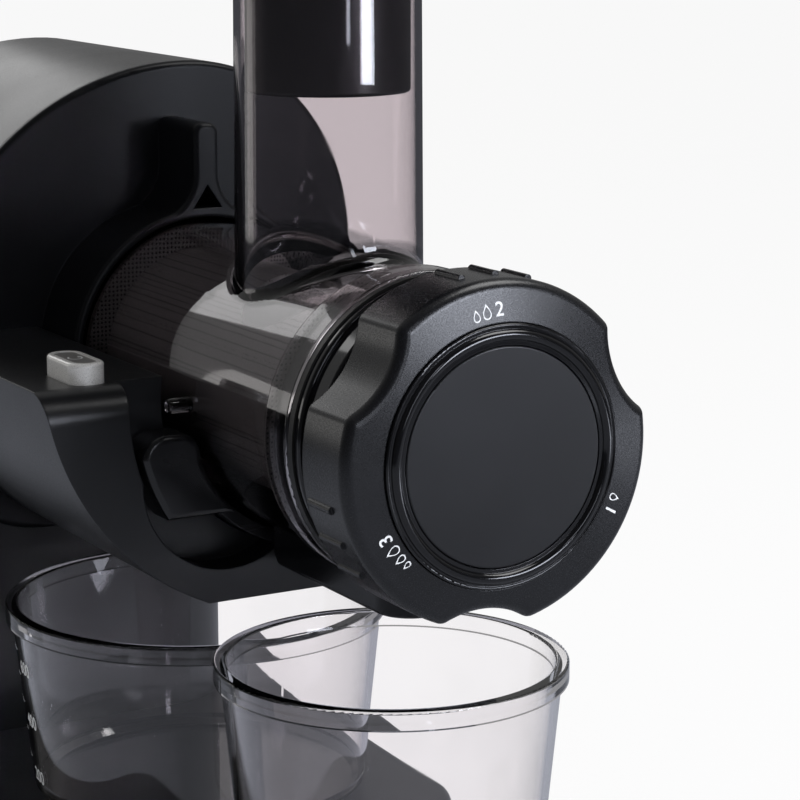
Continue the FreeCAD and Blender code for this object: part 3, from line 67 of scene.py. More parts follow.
NODES = frame["nodes"]
JOINTS = {joint["name"]: joint for joint in frame["joints"]}
MM = 0.001
DRUM_Y, DRUM_Z = JOINTS["dial_turn"]["pos_m"][1:]
WHITE = (1.0, 1.0, 1.0)


def colour(name, text, default):
    """A colour that a user may change."""
    return FloatVectorProperty(name=name, description=text, subtype="COLOR", size=3, min=0, max=1,
                               default=default)


def length(name, text, default):
    """A size that a user may change."""
    return FloatProperty(name=name, description=text, default=default, unit="LENGTH", min=0)


class JuicerFinishes(bpy.types.PropertyGroup):
    """Colours of the pieces."""
    shell: colour("Shell", "Satin plastic of the head, cradle and column", (0.0040, 0.0042, 0.0054))
    base: colour("Base", "Matt plastic of the foot's cover and the switches", (0.0065, 0.0065, 0.0075))
    gloss: colour("Gloss black", "Polished plastic of trim, lever and spouts", (0.0030, 0.0030, 0.0038))
    dial: colour("Dial", "Grained plastic of the end dial", (0.0046, 0.0048, 0.0062))
    smoke: colour("Smoke", "Tint of the smoked clear chute, per wall face", (0.80, 0.745, 0.765))
    # The drum's tint round the auger is painted shade: darker than the chute's smoke to stand in for the
    # shade inside the drum.
    deep_smoke: colour("Deep smoke", "Tint of the drum round the auger, per wall face", (0.42, 0.40, 0.415))
    cup: colour("Cup", "Tint of the clear cups, per wall face", (0.95, 0.93, 0.94))
    screen: colour("Screen", "Perforated steel round the auger", (0.42, 0.40, 0.39))
    screen_hole: colour("Screen hole", "Dark of the screen's perforations", (0.06, 0.055, 0.055))
    silver: colour("Silver", "Satin silver of the run button", (0.78, 0.77, 0.75))
    inlay: colour("Inlay", "Insert of the run button", (0.26, 0.25, 0.24))
    prints: colour("Print", "Printed marks", (0.82, 0.83, 0.84))
    rubber: colour("Rubber", "Seals, feet and switch dome", (0.010, 0.010, 0.010))
    auger: colour("Auger", "Auger and pressure cone", (0.0045, 0.0040, 0.0046))
    pusher: colour("Pusher", "Pusher and tray", (0.0075, 0.0075, 0.0085))
    steel: colour("Steel", "Shafts, screws and pins", (0.58, 0.58, 0.59))
    zinc: colour("Zinc", "Motor can and gear plates", (0.42, 0.43, 0.45))
    bronze: colour("Bronze", "Sintered bearings", (0.52, 0.36, 0.17))
    nylon: colour("Nylon", "Gears and fan", (0.74, 0.71, 0.62))
    magnet: colour("Magnet", "Ceramic magnets", (0.035, 0.035, 0.037))
    board: colour("Board", "Solder mask of the boards", (0.012, 0.10, 0.04))


class JuicerSizes(bpy.types.PropertyGroup):
    """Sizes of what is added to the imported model."""
    print_lift: length("Print lift", "Height of printed marks over their surface", 0.06 * MM)
    line: length("Line", "Width of printed lines", 0.42 * MM)
    mark_radius: length("Mark radius", "Distance of the dial's marks from its axis", 42.6 * MM)
    digit: length("Digit", "Height of the dial's numbers", 4.0 * MM)
    drop: length("Drop", "Height of the largest drop mark", 4.6 * MM)
    scale_digit: length("Scale digit", "Height of the cup's numbers", 4.6 * MM)
    arrow: length("Arrow", "Radius of the arrow on the run button", 2.2 * MM)
    rocker_mark: length("Rocker mark", "Height of the marks on the mains rocker", 3.8 * MM)


class JuicerStage(bpy.types.PropertyGroup):
    """Camera and studio."""
    eye: FloatVectorProperty(name="Eye", description="Camera position", subtype="XYZ", size=3, unit="LENGTH",
                             default=(0.806, -0.382, 0.3365))
    azimuth: FloatProperty(name="Azimuth", description="Direction the camera stands in, in degrees",
                           default=60.0)
    dip: FloatProperty(name="Dip", description="How far the camera looks down, in degrees", default=11.70)
    lens: FloatProperty(name="Lens", description="Focal length in millimetres on a 36 mm sensor",
                        default=119.25)
    floor: colour("Floor", "Pale floor", (0.86, 0.86, 0.86))
    cool: colour("Cool", "Tint of the front lamps and of the mirrored floor", (0.84, 0.88, 1.0))
    warm: colour("Warm", "Tint of the left lamp", (1.0, 0.98, 0.95))
    world: FloatProperty(name="World", description="Strength of the studio's fill light", default=0.45, min=0)


# Shader node helpers


def put(tree, kind, values=None, **settings):
    """Add a node, set its properties, then fill or link its inputs."""
    made = tree.nodes.new(kind)
    for key, value in settings.items():
        setattr(made, key, value)
    for key, value in (values or {}).items():
        if isinstance(value, bpy.types.NodeSocket):
            tree.links.new(value, made.inputs[key])
        else:
            made.inputs[key].default_value = value
    return made


def feed(tree, node, **sockets):
    """Link each socket to the node's input of that name, where _ stands for a space."""
    for name, socket in sockets.items():
        tree.links.new(socket, node.inputs[name.replace("_", " ")])


def hold(node, **values):
    """Set plain values on the node's own inputs, where _ stands for a space."""
    for name, value in values.items():
        node.inputs[name.replace("_", " ")].default_value = value


def sums(tree, operation, *terms):
    """The value of a Math node."""
    return put(tree, "ShaderNodeMath", dict(enumerate(terms)), operation=operation).outputs[0]


def vectors(tree, operation, *terms, gives="Vector"):
    """The vector, or the plain value, of a Vector Math node."""
    return put(tree, "ShaderNodeVectorMath", dict(enumerate(terms)), operation=operation).outputs[gives]


def spread(tree, value, source, target):
    """Carry a value from one range to another along a soft step that stops at both ends."""
    made = put(tree, "ShaderNodeMapRange",
               {"Value": value, "From Min": source[0], "From Max": source[1],
                "To Min": target[0], "To Max": target[1]},
               interpolation_type="SMOOTHSTEP")
    return made.outputs["Result"]


def blend(tree, share, first, second):
    """Two colours mixed; share is how much there is of the second."""
    made = put(tree, "ShaderNodeMix", {"Factor": share, 6: first, 7: second}, data_type="RGBA")
    return made.outputs[2]


def place(tree):
    """Where a point of the surface lies on its piece."""
    return put(tree, "ShaderNodeTexCoord").outputs["Object"]


def noise(tree, at, **values):
    """The value of a noise texture."""
    return put(tree, "ShaderNodeTexNoise", {"Vector": at, **values}).outputs["Fac"]


# Shared effects


def effect(name, inputs, outputs):
    """A shader node group with named sockets; gives the tree, its inputs and its output node."""
    tree = bpy.data.node_groups.new(name, "ShaderNodeTree")
    for label, kind, default in inputs:
        socket = tree.interface.new_socket(name=label, in_out="INPUT", socket_type=f"NodeSocket{kind}")
        socket.default_value = default
    for label, kind in outputs:
        tree.interface.new_socket(name=label, in_out="OUTPUT", socket_type=f"NodeSocket{kind}")
    entry = tree.nodes.new("NodeGroupInput")
    out = tree.nodes.new("NodeGroupOutput")
    return tree, entry.outputs, out


def grain_effect():
    """Spark-eroded mould grain: fine pits and round cells, with a slow drift of gloss."""
    tree, given, out = effect("Moulded grain",
                              [("Grain", "Float", 3000.0), ("Smooth", "Float", 0.35),
                               ("Rough", "Float", 0.5)],
                              [("Roughness", "Float"), ("Height", "Float")])
    fine_share, wide_share, cell_scale, cell_depth = 0.7, 0.3, 0.55, 0.6
    at = place(tree)
    pits = noise(tree, at, Scale=given["Grain"], Detail=3.0, Roughness=0.65)
    wide = noise(tree, at, Scale=22.0, Detail=4.0, Roughness=0.5)
    coarse = sums(tree, "MULTIPLY", given["Grain"], cell_scale)
    cells = put(tree, "ShaderNodeTexVoronoi", {"Vector": at, "Scale": coarse}).outputs["Distance"]
    mixed = sums(tree, "ADD", sums(tree, "MULTIPLY", pits, fine_share),
                 sums(tree, "MULTIPLY", wide, wide_share))
    feed(tree, out,
         Roughness=spread(tree, mixed, (0.38, 0.62), (given["Smooth"], given["Rough"])),
         Height=sums(tree, "ADD", pits, sums(tree, "MULTIPLY", cells, cell_depth)))
    return tree


def haze_effect():
    """Polished surface with the faint haze of wiping and handling."""
    tree, given, out = effect("Handling haze", [("Smooth", "Float", 0.06), ("Rough", "Float", 0.16)],
                              [("Roughness", "Float"), ("Height", "Float")])
    at = place(tree)
    wiped = put(tree, "ShaderNodeMapping",
                {"Vector": at, "Scale": (18.0, 18.0, 60.0), "Rotation": (0.3, 0.2, 0.5)}).outputs["Vector"]
    wipes = noise(tree, wiped, Scale=1.0, Detail=6.0, Roughness=0.6, Distortion=0.5)
    feed(tree, out,
         Roughness=spread(tree, wipes, (0.42, 0.72), (given["Smooth"], given["Rough"])),
         Height=noise(tree, at, Scale=45.0, Detail=1.0))
    return tree


def tone_effect():
    """Slow drift between two tones of one colour."""
    tree, given, out = effect("Tone drift",
                              [("Light", "Color", (0.5, 0.5, 0.5, 1)), ("Dark", "Color", (0.4, 0.4, 0.4, 1)),
                               ("Scale", "Float", 18.0)],
                              [("Color", "Color")])
    drift = noise(tree, place(tree), Scale=given["Scale"], Detail=3.0, Roughness=0.55)
    share = spread(tree, drift, (0.35, 0.65), (0.0, 1.0))
    feed(tree, out, Color=blend(tree, share, given["Light"], given["Dark"]))
    return tree


def brushed_effect():
    """Fine lay of turned or brushed metal."""
    tree, given, out = effect("Brushed lay",
                              [("Lay", "Vector", (200.0, 4000.0, 4000.0)), ("Smooth", "Float", 0.25),
                               ("Rough", "Float", 0.45)],
                              [("Roughness", "Float"), ("Height", "Float")])
    lines = noise(tree, vectors(tree, "MULTIPLY", place(tree), given["Lay"]), Scale=1.0, Detail=3.0)
    feed(tree, out,
         Roughness=spread(tree, lines, (0.35, 0.65), (given["Smooth"], given["Rough"])),
         Height=lines)
    return tree


def strainer_effect():
    """Fine round perforations of a strainer, as a hole mask and a height."""
    tree, given, out = effect("Strainer holes", [("Pitch", "Float", 900.0)],
                              [("Hole", "Float"), ("Height", "Float")])
    cells = put(tree, "ShaderNodeTexVoronoi",
                {"Vector": place(tree), "Scale": given["Pitch"], "Randomness": 0.15}).outputs["Distance"]
    feed(tree, out,
         Hole=spread(tree, cells, (0.24, 0.32), (1.0, 0.0)),
         Height=spread(tree, cells, (0.2, 0.4), (0.0, 1.0)))
    return tree


def smoke_effect():
    """One smoked moulding's tint, pale up the chute, and darker round the auger as painted shade of the
    drum's inside.
    """
    tree, given, out = effect("Smoke and painted shade",
                              [("Pale", "Color", (0.8, 0.8, 0.8, 1)), ("Deep", "Color", (0.2, 0.2, 0.2, 1)),
                               ("Axis", "Vector", (0, 0, 0)), ("Reach", "Float", 0.0525)],
                              [("Color", "Color")])
    off = vectors(tree, "SUBTRACT", place(tree), given["Axis"])
    far = vectors(tree, "LENGTH", vectors(tree, "MULTIPLY", off, (0, 1, 1)), gives="Value")
    # Inside the reach round the drum's axis the tint is darkened: painted shade.
    painted_shade_share = spread(tree, sums(tree, "SUBTRACT", far, given["Reach"]), (-MM, MM), (1.0, 0.0))
    feed(tree, out, Color=blend(tree, painted_shade_share, given["Pale"], given["Deep"]))
    return tree


def pins_effect():
    """Mask of two bare metal pins that stand along X."""
    tree, given, out = effect("Contact pins",
                              [("Middle", "Vector", (0, 0, 0)), ("Apart", "Float", 0.0047),
                               ("Radius", "Float", 0.0014)],
                              [("Pin", "Float")])
    off = vectors(tree, "SUBTRACT", place(tree), given["Middle"])
    part = put(tree, "ShaderNodeSeparateXYZ", {"Vector": off}).outputs
    side = sums(tree, "SUBTRACT", sums(tree, "ABSOLUTE", part["Y"]), given["Apart"])
    far = sums(tree, "SQRT", sums(tree, "ADD", sums(tree, "MULTIPLY", side, side),
                                  sums(tree, "MULTIPLY", part["Z"], part["Z"])))
    feed(tree, out, Pin=sums(tree, "LESS_THAN", far, given["Radius"]))
    return tree


MAKERS = {"grain": grain_effect, "haze": haze_effect, "tone": tone_effect, "brushed": brushed_effect,
          "strainer": strainer_effect, "smoke": smoke_effect, "pins": pins_effect}
EFFECTS = {}


def use_effect(tree, name, **values):
    """Place one of the shared groups in a material with its own values."""
    if name not in EFFECTS:
        EFFECTS[name] = MAKERS[name]()
    made = put(tree, "ShaderNodeGroup", values, node_tree=EFFECTS[name])
    return made.outputs


# Finishes


def rgba(shade, gain=1.0):
    """A colour for a socket, made lighter or darker by gain."""
    return (*[min(1.0, part * gain) for part in shade], 1.0)


def new_material(name):
    """A material with its node tree and its shader."""
    made = bpy.data.materials.new(name)
    made.use_nodes = True
    return made, made.node_tree, made.node_tree.nodes["Principled BSDF"]


def finish(name, shade, kind, rough, relief, drift=0.25, edge=0.0, **sockets):
    """A finish with its roughness and relief from the group of that kind.
    shade drifts between two tones, and with None the caller links the colour; rough is the least and the
    most roughness, relief the bump's depth and edge the radius that light sees on moulded edges. Grain and
    Lay go to the group, the other sockets to the shader."""
    made, tree, shader = new_material(name)
    pattern = {key: sockets.pop(key) for key in ("Grain", "Lay") if key in sockets}
    surface = use_effect(tree, kind, Smooth=rough[0], Rough=rough[1], **pattern)
    bump = put(tree, "ShaderNodeBump", {"Height": surface["Height"], "Strength": 1.0, "Distance": relief})
    if edge:
        rounded = put(tree, "ShaderNodeBevel", {"Radius": edge}, samples=6)
        feed(tree, bump, Normal=rounded.outputs["Normal"])
    if shade is not None:
        tone = use_effect(tree, "tone", Light=rgba(shade, 1 + drift), Dark=rgba(shade, 1 - drift))
        feed(tree, shader, Base_Color=tone["Color"])
    feed(tree, shader, Roughness=surface["Roughness"], Normal=bump.outputs["Normal"])
    hold(shader, **sockets)
    return made


def clear_plastic(name, shade, rough, relief, ior=1.49):
    """A clear moulding, tinted at each face, with faint flow lines."""
    return finish(name, shade, "haze", rough, relief, drift=0.03, Transmission_Weight=1.0, IOR=ior)


def print_ink():
    """The ink that all printed marks share."""
    if "printed_ink" in bpy.data.materials:
        return bpy.data.materials["printed_ink"]
    return finish("printed_ink", bpy.context.scene.juicer_finishes.prints, "grain", (0.42, 0.55), 0.01 * MM,
                  drift=0.03, Grain=5000.0)


def dress(material, *names):
    """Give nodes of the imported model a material."""
    for name in names:
        for slot in NODES[name].material_slots:
            slot.material = material


# Printed marks


def middle_of(name):
    """Middle of the box of a node."""
    low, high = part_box(name)
    return (low + high) / 2


def flat_strip(inner, outer, closed=True):
    """Points and quads between two outlines with the same count."""
    count = len(inner)
    points = list(inner) + list(outer)
    last = count if closed else count - 1
    quads = [(i, count + i, count + (i + 1) % count, (i + 1) % count) for i in range(last)]
    return points, quads


def flat_bar(wide, high, steps=1):
    """A bar about the origin, cut across in steps so that it can wrap."""
    count = steps + 1
    points = [(wide * (i / steps - 0.5), row) for row in (-high / 2, high / 2) for i in range(count)]
    return points, [(i, i + 1, count + i + 1, count + i) for i in range(steps)]


def flat_arc(radius, line, start, end, steps=40):
    """A flat arc band about the origin, in degrees; a full turn closes on itself."""
    closed = abs(end - start) >= 360
    count = steps if closed else steps + 1
    angles = [math.radians(start + (end - start) * step / steps) for step in range(count)]

    def ring(far):
        return [(far * math.cos(angle), far * math.sin(angle)) for angle in angles]

    return flat_strip(ring(radius - line / 2), ring(radius + line / 2), closed)


def flat_drop(height, line, steps=48):
    """Band along the outline of a drop about the origin, pointed at the top."""
    half_wide, taper, tip_inset = 0.42, 1.35, 1.9

    def outline(shrink):
        points = []
        for step in range(steps):
            turn = 2 * math.pi * step / steps
            wide = math.sin(turn) * math.sin(turn / 2) ** taper
            inset = shrink * (tip_inset if math.cos(turn) > 0 else 1.0)
            points.append((wide * (height * half_wide - shrink), math.cos(turn) * (height / 2 - inset)))
        return points

    return flat_strip(outline(line), outline(0.0))


def flat_text(words, high):
    """Flat filled glyphs of the built-in font, centred, cut fine enough to wrap."""
    cap_height, boldness, longest_edge, weld = 0.69, 0.018, 1 / 6, 1e-4
    curve = bpy.data.curves.new("glyphs", "FONT")
    curve.body, curve.size = words, high / cap_height
    curve.align_x, curve.align_y = "CENTER", "CENTER"
    curve.offset = high * boldness
    holder = bpy.data.objects.new("glyphs", curve)
    mesh = bpy.data.meshes.new_from_object(holder)
    cut = bmesh.new()
    cut.from_mesh(mesh)
    bmesh.ops.remove_doubles(cut, verts=cut.verts, dist=high * weld)
    bmesh.ops.triangulate(cut, faces=cut.faces)
    long = [edge for edge in cut.edges if edge.calc_length() > high * longest_edge]
    bmesh.ops.subdivide_edges(cut, edges=long, cuts=2)
    bmesh.ops.triangulate(cut, faces=cut.faces)
    cut.verts.index_update()
    points = [(v.co.x, v.co.y) for v in cut.verts]
    faces = [tuple(v.index for v in f.verts) for f in cut.faces]
    cut.free()
    bpy.data.objects.remove(holder)
    bpy.data.curves.remove(curve)
    bpy.data.meshes.remove(mesh)
    return points, faces


class Print:
    """Collects flat shapes wrapped on a surface into one piece."""

    def __init__(self, surface):
        self.surface, self.verts, self.faces = surface, [], []

    def add(self, shape, across=0.0, up=0.0, turn=0.0):
        """Wrap a shape on the surface, turned about its own origin in radians."""
        points, faces = shape
        start = len(self.verts)
        cos, sin = math.cos(turn), math.sin(turn)
        self.verts += [self.surface(across + x * cos - y * sin, up + x * sin + y * cos) for x, y in points]
        self.faces += [tuple(start + i for i in face) for face in faces]

    def make(self, name, body):
        """Make the piece in printed ink, with its faces turned one way, and let it ride on a body."""
        mesh = bpy.data.meshes.new(name)
        mesh.from_pydata([tuple(v) for v in self.verts], [], self.faces)
        mesh.validate()
        mesh.polygons.foreach_set("use_smooth", [True] * len(mesh.polygons))
        mesh.materials.append(print_ink())
        piece = bpy.data.objects.new(name, mesh)
        bpy.context.scene.collection.objects.link(piece)
        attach(piece, body)
        cleaned = bmesh.new()
        cleaned.from_mesh(mesh)
        bmesh.ops.recalc_face_normals(cleaned, faces=cleaned.faces)
        cleaned.to_mesh(mesh)
        cleaned.free()


# Operators


class JUICER_OT_shell(bpy.types.Operator):
    """Satin shell: head, front cover with collar and fin, cradle, column and foot"""
    bl_idname = "juicer.shell"
    bl_label = "Shell and foot"

    def execute(self, context):
        shades = context.scene.juicer_finishes
        satin = {"kind": "grain", "rough": (0.30, 0.40), "relief": 0.008 * MM, "edge": 0.7 * MM,
                 "Grain": 2600.0}
        dress(finish("shell_satin", shades.shell, **satin), "main_housing", "drum_cradle", "base_foot")
        # The front cover takes a shaded copy of the shell's satin: its reflections are turned down so that
        # the face shows darker, as painted shade.
        dress(finish("shell_satin_shaded", shades.shell, **satin, Specular_IOR_Level=0.16), "front_cover")
        dress(finish("base_matt", shades.base, "grain", (0.48, 0.62), 0.03 * MM, edge=0.5 * MM, Grain=1900.0),
              "base_cover")
        dress(finish("foot_rubber", shades.rubber, "grain", (0.62, 0.8), 0.03 * MM, Grain=2400.0),
              "rubber_feet")
        dress(finish("screw_steel", shades.steel, "brushed", (0.25, 0.4), 0.004 * MM, Metallic=1.0),
              "base_screws")
        return {"FINISHED"}


class JUICER_OT_back(bpy.types.Operator):
    """Mains inlet and rocker on the back, with plain marks on the rocker"""
    bl_idname = "juicer.back"
    bl_label = "Inlet and rocker"

    def execute(self, context):
        shades, sizes = context.scene.juicer_finishes, context.scene.juicer_sizes
        plain = {"kind": "grain", "rough": (0.4, 0.55), "relief": 0.02 * MM, "Grain": 2600.0}
        dress(finish("switch_plastic", shades.base, **plain), "switch_frame")
        dress(finish("rocker_gloss", shades.gloss, "haze", (0.1, 0.2), 0.01 * MM), "power_rocker")
        inlet = finish("inlet_plastic", shades.base, **plain)
        self.bare_pins(inlet, shades.steel)
        dress(inlet, "power_inlet")
        self.marks(sizes)
        return {"FINISHED"}

    def bare_pins(self, plastic, metal):
        """Turn the plastic to bare metal at the inlet's two pins."""
        tree, shader = plastic.node_tree, plastic.node_tree.nodes["Principled BSDF"]
        pin = use_effect(tree, "pins", Middle=middle_of("power_inlet"))["Pin"]
        tone = shader.inputs["Base Color"].links[0].from_socket
        feed(tree, shader, Base_Color=blend(tree, pin, tone, rgba(metal)), Metallic=pin)

    def marks(self, sizes):
        """A stroke above the rocker's pivot and a ring below it."""
        middle = middle_of("power_rocker")
        # Where the upright face stands, and how far the other leans out over its height
        upright_x, lean = -182.3 * MM, 2.7 / 9.3
        stroke_line, ring_line = 2 * sizes.line, 1.6 * sizes.line
        off_pivot = 1.2 * sizes.rocker_mark

        def on_paddle(across, up):
            """The rocker's two faces: upright below its pivot, leaning outwards above it."""
            face_x = upright_x - lean * max(up, 0.0)
            return Vector((face_x - sizes.print_lift, middle.y - across, middle.z + up))

        marks = Print(on_paddle)
        marks.add(flat_bar(stroke_line, sizes.rocker_mark), up=off_pivot)
        marks.add(flat_arc(sizes.rocker_mark / 2, ring_line, 0, 360), up=-off_pivot)
        marks.make("rocker_marks", "rocker")


class JUICER_OT_button(bpy.types.Operator):
    """Silver run button with its dark insert and a curved arrow"""
    bl_idname = "juicer.button"
    bl_label = "Run button"

    def execute(self, context):
        shades, sizes = context.scene.juicer_finishes, context.scene.juicer_sizes
        dress(finish("button_silver", shades.silver, "grain", (0.26, 0.38), 0.008 * MM, drift=0.05,
                     Grain=4200.0, Metallic=0.4), "run_button")
        dress(finish("button_insert", shades.inlay, "grain", (0.3, 0.4), 0.006 * MM,
                     Grain=4200.0, Metallic=0.35), "button_inlay")
        dome = finish("dome_rubber", shades.rubber, "grain", (0.6, 0.75), 0.02 * MM)
        dress(dome, "button_dome")
        self.springy(dome)
        dress(finish("board_mask", shades.board, "haze", (0.3, 0.45), 0.01 * MM),
              "button_board", "control_board")
        dress(finish("switch_case", shades.base, "grain", (0.45, 0.6), 0.02 * MM), "button_switch")
        self.arrow(sizes)
        return {"FINISHED"}

    def springy(self, rubber):
        """A copy of the dome in rubber that rides on the base in place of the imported one."""
        skin = bpy.data.objects.new("dome_skin", NODES["button_dome"].data.copy())
        skin.data.materials.clear()
        skin.data.materials.append(rubber)
        bpy.context.scene.collection.objects.link(skin)
        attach(skin, "base")
        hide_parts("button_dome")
        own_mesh(skin)

    def arrow(self, sizes):
        """A curved arrow on the button's insert."""
        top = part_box("button_inlay")[1].z + sizes.print_lift
        middle = middle_of("button_inlay")
        tail, tip, barb = -60, 200, 1.9
        head = barb * sizes.line
        end = math.radians(tip)
        arrow = Print(lambda x, y: Vector((middle.x + y, middle.y - x, top)))
        arrow.add(flat_arc(sizes.arrow, sizes.line, tail, tip))
        arrow.add(([(-head, 0.0), (head, 0.0), (0.0, barb * head)], [(0, 1, 2)]),
                  across=sizes.arrow * math.cos(end), up=sizes.arrow * math.sin(end), turn=end)
        arrow.make("button_arrow", "button")


class JUICER_OT_drum(bpy.types.Operator):
    """Smoked clear drum and chute, with painted shade round the auger, and the screen, auger and seals inside
    """
    bl_idname = "juicer.drum"
    bl_label = "Juicing set"

    def execute(self, context):
        shades = context.scene.juicer_finishes
        dress(self.smoked(shades), "juicing_drum")
        dress(self.perforated(shades), "juicing_screen")
        dress(finish("auger_plastic", shades.auger, "haze", (0.22, 0.34), 0.01 * MM),
              "auger", "pressure_cone")
        dress(finish("seal_rubber", shades.rubber, "grain", (0.4, 0.55), 0.01 * MM),
              "shaft_seal", "cover_seal", "cap_seal")
        dress(finish("gate_gloss", shades.gloss, "haze", (0.2, 0.3), 0.006 * MM, edge=0.6 * MM),
              "juice_gate", "juice_spout")
        return {"FINISHED"}

    def smoked(self, shades):
        """Clear plastic that is darker round the auger than up the chute, the darker tint being painted shade
        of the drum's inside.
        """
        made = clear_plastic("smoke_clear", None, (0.015, 0.05), 0.004 * MM, ior=1.52)
        tree = made.node_tree
        # The deep tint round the auger is painted shade, not a darker plastic.
        depth = use_effect(tree, "smoke", Pale=rgba(shades.smoke), Deep=rgba(shades.deep_smoke),
                           Axis=(0.0, DRUM_Y, DRUM_Z))
        feed(tree, tree.nodes["Principled BSDF"], Base_Color=depth["Color"])
        return made

    def perforated(self, shades):
        """Steel sheet with fine holes."""
        made, tree, shader = new_material("screen_steel")
        sheet = use_effect(tree, "strainer", Pitch=700.0)
        bump = put(tree, "ShaderNodeBump", {"Height": sheet["Height"], "Distance": 0.1 * MM})
        tone = blend(tree, sheet["Hole"], rgba(shades.screen), rgba(shades.screen_hole))
        feed(tree, shader, Base_Color=tone, Normal=bump.outputs["Normal"])
        hold(shader, Metallic=0.3, Roughness=0.35)
        return made


class JUICER_OT_dial(bpy.types.Operator):
    """End cap and dial with grained face, polished trim and printed drop marks"""
    bl_idname = "juicer.dial"
    bl_label = "End dial"

    def execute(self, context):
        shades, sizes = context.scene.juicer_finishes, context.scene.juicer_sizes
        dress(finish("dial_grain", shades.dial, "grain", (0.24, 0.32), 0.003 * MM, edge=0.5 * MM,
                     Grain=2400.0), "pulp_dial")
        dress(finish("disc_satin", shades.dial, "grain", (0.28, 0.36), 0.006 * MM, Grain=3200.0), "dial_disc")
        dress(finish("trim_gloss", shades.gloss, "haze", (0.07, 0.13), 0.002 * MM, edge=0.3 * MM),
              "dial_trim", "end_cap")
        # The spout takes a shaded copy of the gloss: its reflections are turned down so that it shows dark,
        # as painted shade.
        dress(finish("gloss_shaded", shades.gloss, "haze", (0.2, 0.3), 0.006 * MM, edge=0.4 * MM,
                     Specular_IOR_Level=0.28), "pulp_spout")
        self.marks(sizes)
        return {"FINISHED"}

    def marks(self, sizes):
        """Drops that grow towards a number, at each of the dial's three settings."""
        # Radius and X of the face's outer and inner edge
        rim, ring = 51 * MM, 38.8 * MM
        rim_x, ring_x = 184 * MM, 185.4 * MM
        # Number and place of each setting, in degrees clockwise from the top
        settings = ((2, 346), (3, 227), (1, 111))
        step_down, lead, trail, digit_gap = 0.18, 0.40, 0.44, 0.55

        def on_face(across, up):
            """The dial's sloping face; across runs clockwise from the top as the user sees it."""
            far = sizes.mark_radius + up
            angle = across / sizes.mark_radius
            depth = ring_x + (rim_x - ring_x) * (far - ring) / (rim - ring) + sizes.print_lift
            return Vector((depth, DRUM_Y + far * math.sin(angle), DRUM_Z + far * math.cos(angle)))

        for number, degrees in settings:
            mark = Print(on_face)
            across = math.radians(degrees) * sizes.mark_radius
            largest = max(number, 2) - 1
            for index in range(number):
                high = sizes.drop * (1.0 - step_down * (largest - index))
                across += lead * high
                mark.add(flat_drop(high, sizes.line), across=across, up=(high - sizes.drop) / 2)
                across += trail * high
            mark.add(flat_text(str(number), sizes.digit), across=across + digit_gap * sizes.digit)
            mark.make(f"dial_mark_{number}", "dial")


class JUICER_OT_feeding(bpy.types.Operator):
    """Feed tray and pusher"""
    bl_idname = "juicer.feeding"
    bl_label = "Tray and pusher"

    def execute(self, context):
        shades = context.scene.juicer_finishes
        dress(finish("pusher_satin", shades.pusher, "grain", (0.36, 0.5), 0.016 * MM, Grain=2200.0),
              "feed_tray", "food_pusher")
        dress(finish("lid_gloss", shades.gloss, "haze", (0.14, 0.24), 0.006 * MM), "pusher_lid")
        return {"FINISHED"}


class JUICER_OT_cups(bpy.types.Operator):
    """Clear cups, the juice cup with a plain scale"""
    bl_idname = "juicer.cups"
    bl_label = "Cups"

    def execute(self, context):
        shades, sizes = context.scene.juicer_finishes, context.scene.juicer_sizes
        dress(clear_plastic("cup_clear", shades.cup, (0.01, 0.04), 0.003 * MM), "juice_cup", "pulp_cup")
        self.scale(sizes)
        return {"FINISHED"}

    def scale(self, sizes):
        """Ticks up the side of the juice cup, with a number under every other one."""
        centre = middle_of("juice_cup")
        # Radius and height of two rings on the cup's outer side
        foot_r, side_r = 58 * MM, 64.3 * MM
        foot_z, side_z = 17.3 * MM, 76 * MM
        facing = math.radians(-98)
        # Height of each tick in millimetres, and its number
        ticks = ((67, "600"), (58, None), (48, "400"), (38, None), (28, "200"))
        long_tick, short_tick, tick_end = 9 * MM, 5 * MM, -6 * MM
        number_across, number_drop = 2 * MM, 5 * MM

        def on_side(across, up):
            """The cup's cone; across runs round it from the side that the scale faces."""
            far = foot_r + (side_r - foot_r) * (up - foot_z) / (side_z - foot_z) + sizes.print_lift
            angle = facing + across / far
            return Vector((centre.x + far * math.cos(angle), centre.y + far * math.sin(angle), up))

        scale = Print(on_side)
        for height, number in ticks:
            wide = long_tick if number else short_tick
            scale.add(flat_bar(wide, sizes.line, steps=8), across=tick_end - wide / 2, up=height * MM)
            if number:
                scale.add(flat_text(number, sizes.scale_digit), across=number_across,
                          up=height * MM - number_drop)
        scale.make("juice_cup_scale", "juice_cup")


class JUICER_OT_drive(bpy.types.Operator):
    """Gearbox and motor inside the head"""
    bl_idname = "juicer.drive"
    bl_label = "Drive"

    def execute(self, context):
        shades = context.scene.juicer_finishes
        dress(finish("turned_steel", shades.steel, "brushed", (0.22, 0.38), 0.004 * MM, Metallic=1.0,
                     Lay=(3000.0, 150.0, 150.0)),
              "output_shaft", "layshaft_pin", "motor_rotor", "plate_posts", "post_screws_front",
              "post_screws_rear", "cover_screws")
        dress(finish("zinc_plate", shades.zinc, "brushed", (0.3, 0.46), 0.004 * MM, Metallic=1.0),
              "gear_plate_front", "gear_plate_rear", "motor_can", "motor_bell")
        dress(finish("gear_nylon", shades.nylon, "grain", (0.42, 0.55), 0.01 * MM, drift=0.05),
              "output_gear", "compound_gear", "motor_pinion", "cooling_fan")
        dress(finish("bearing_bronze", shades.bronze, "grain", (0.35, 0.5), 0.01 * MM, Metallic=1.0),
              "bearing_front", "bearing_rear", "motor_bush_front", "motor_bush_rear")
        dress(finish("magnet_ceramic", shades.magnet, "grain", (0.5, 0.65), 0.02 * MM), "motor_magnets")
        return {"FINISHED"}


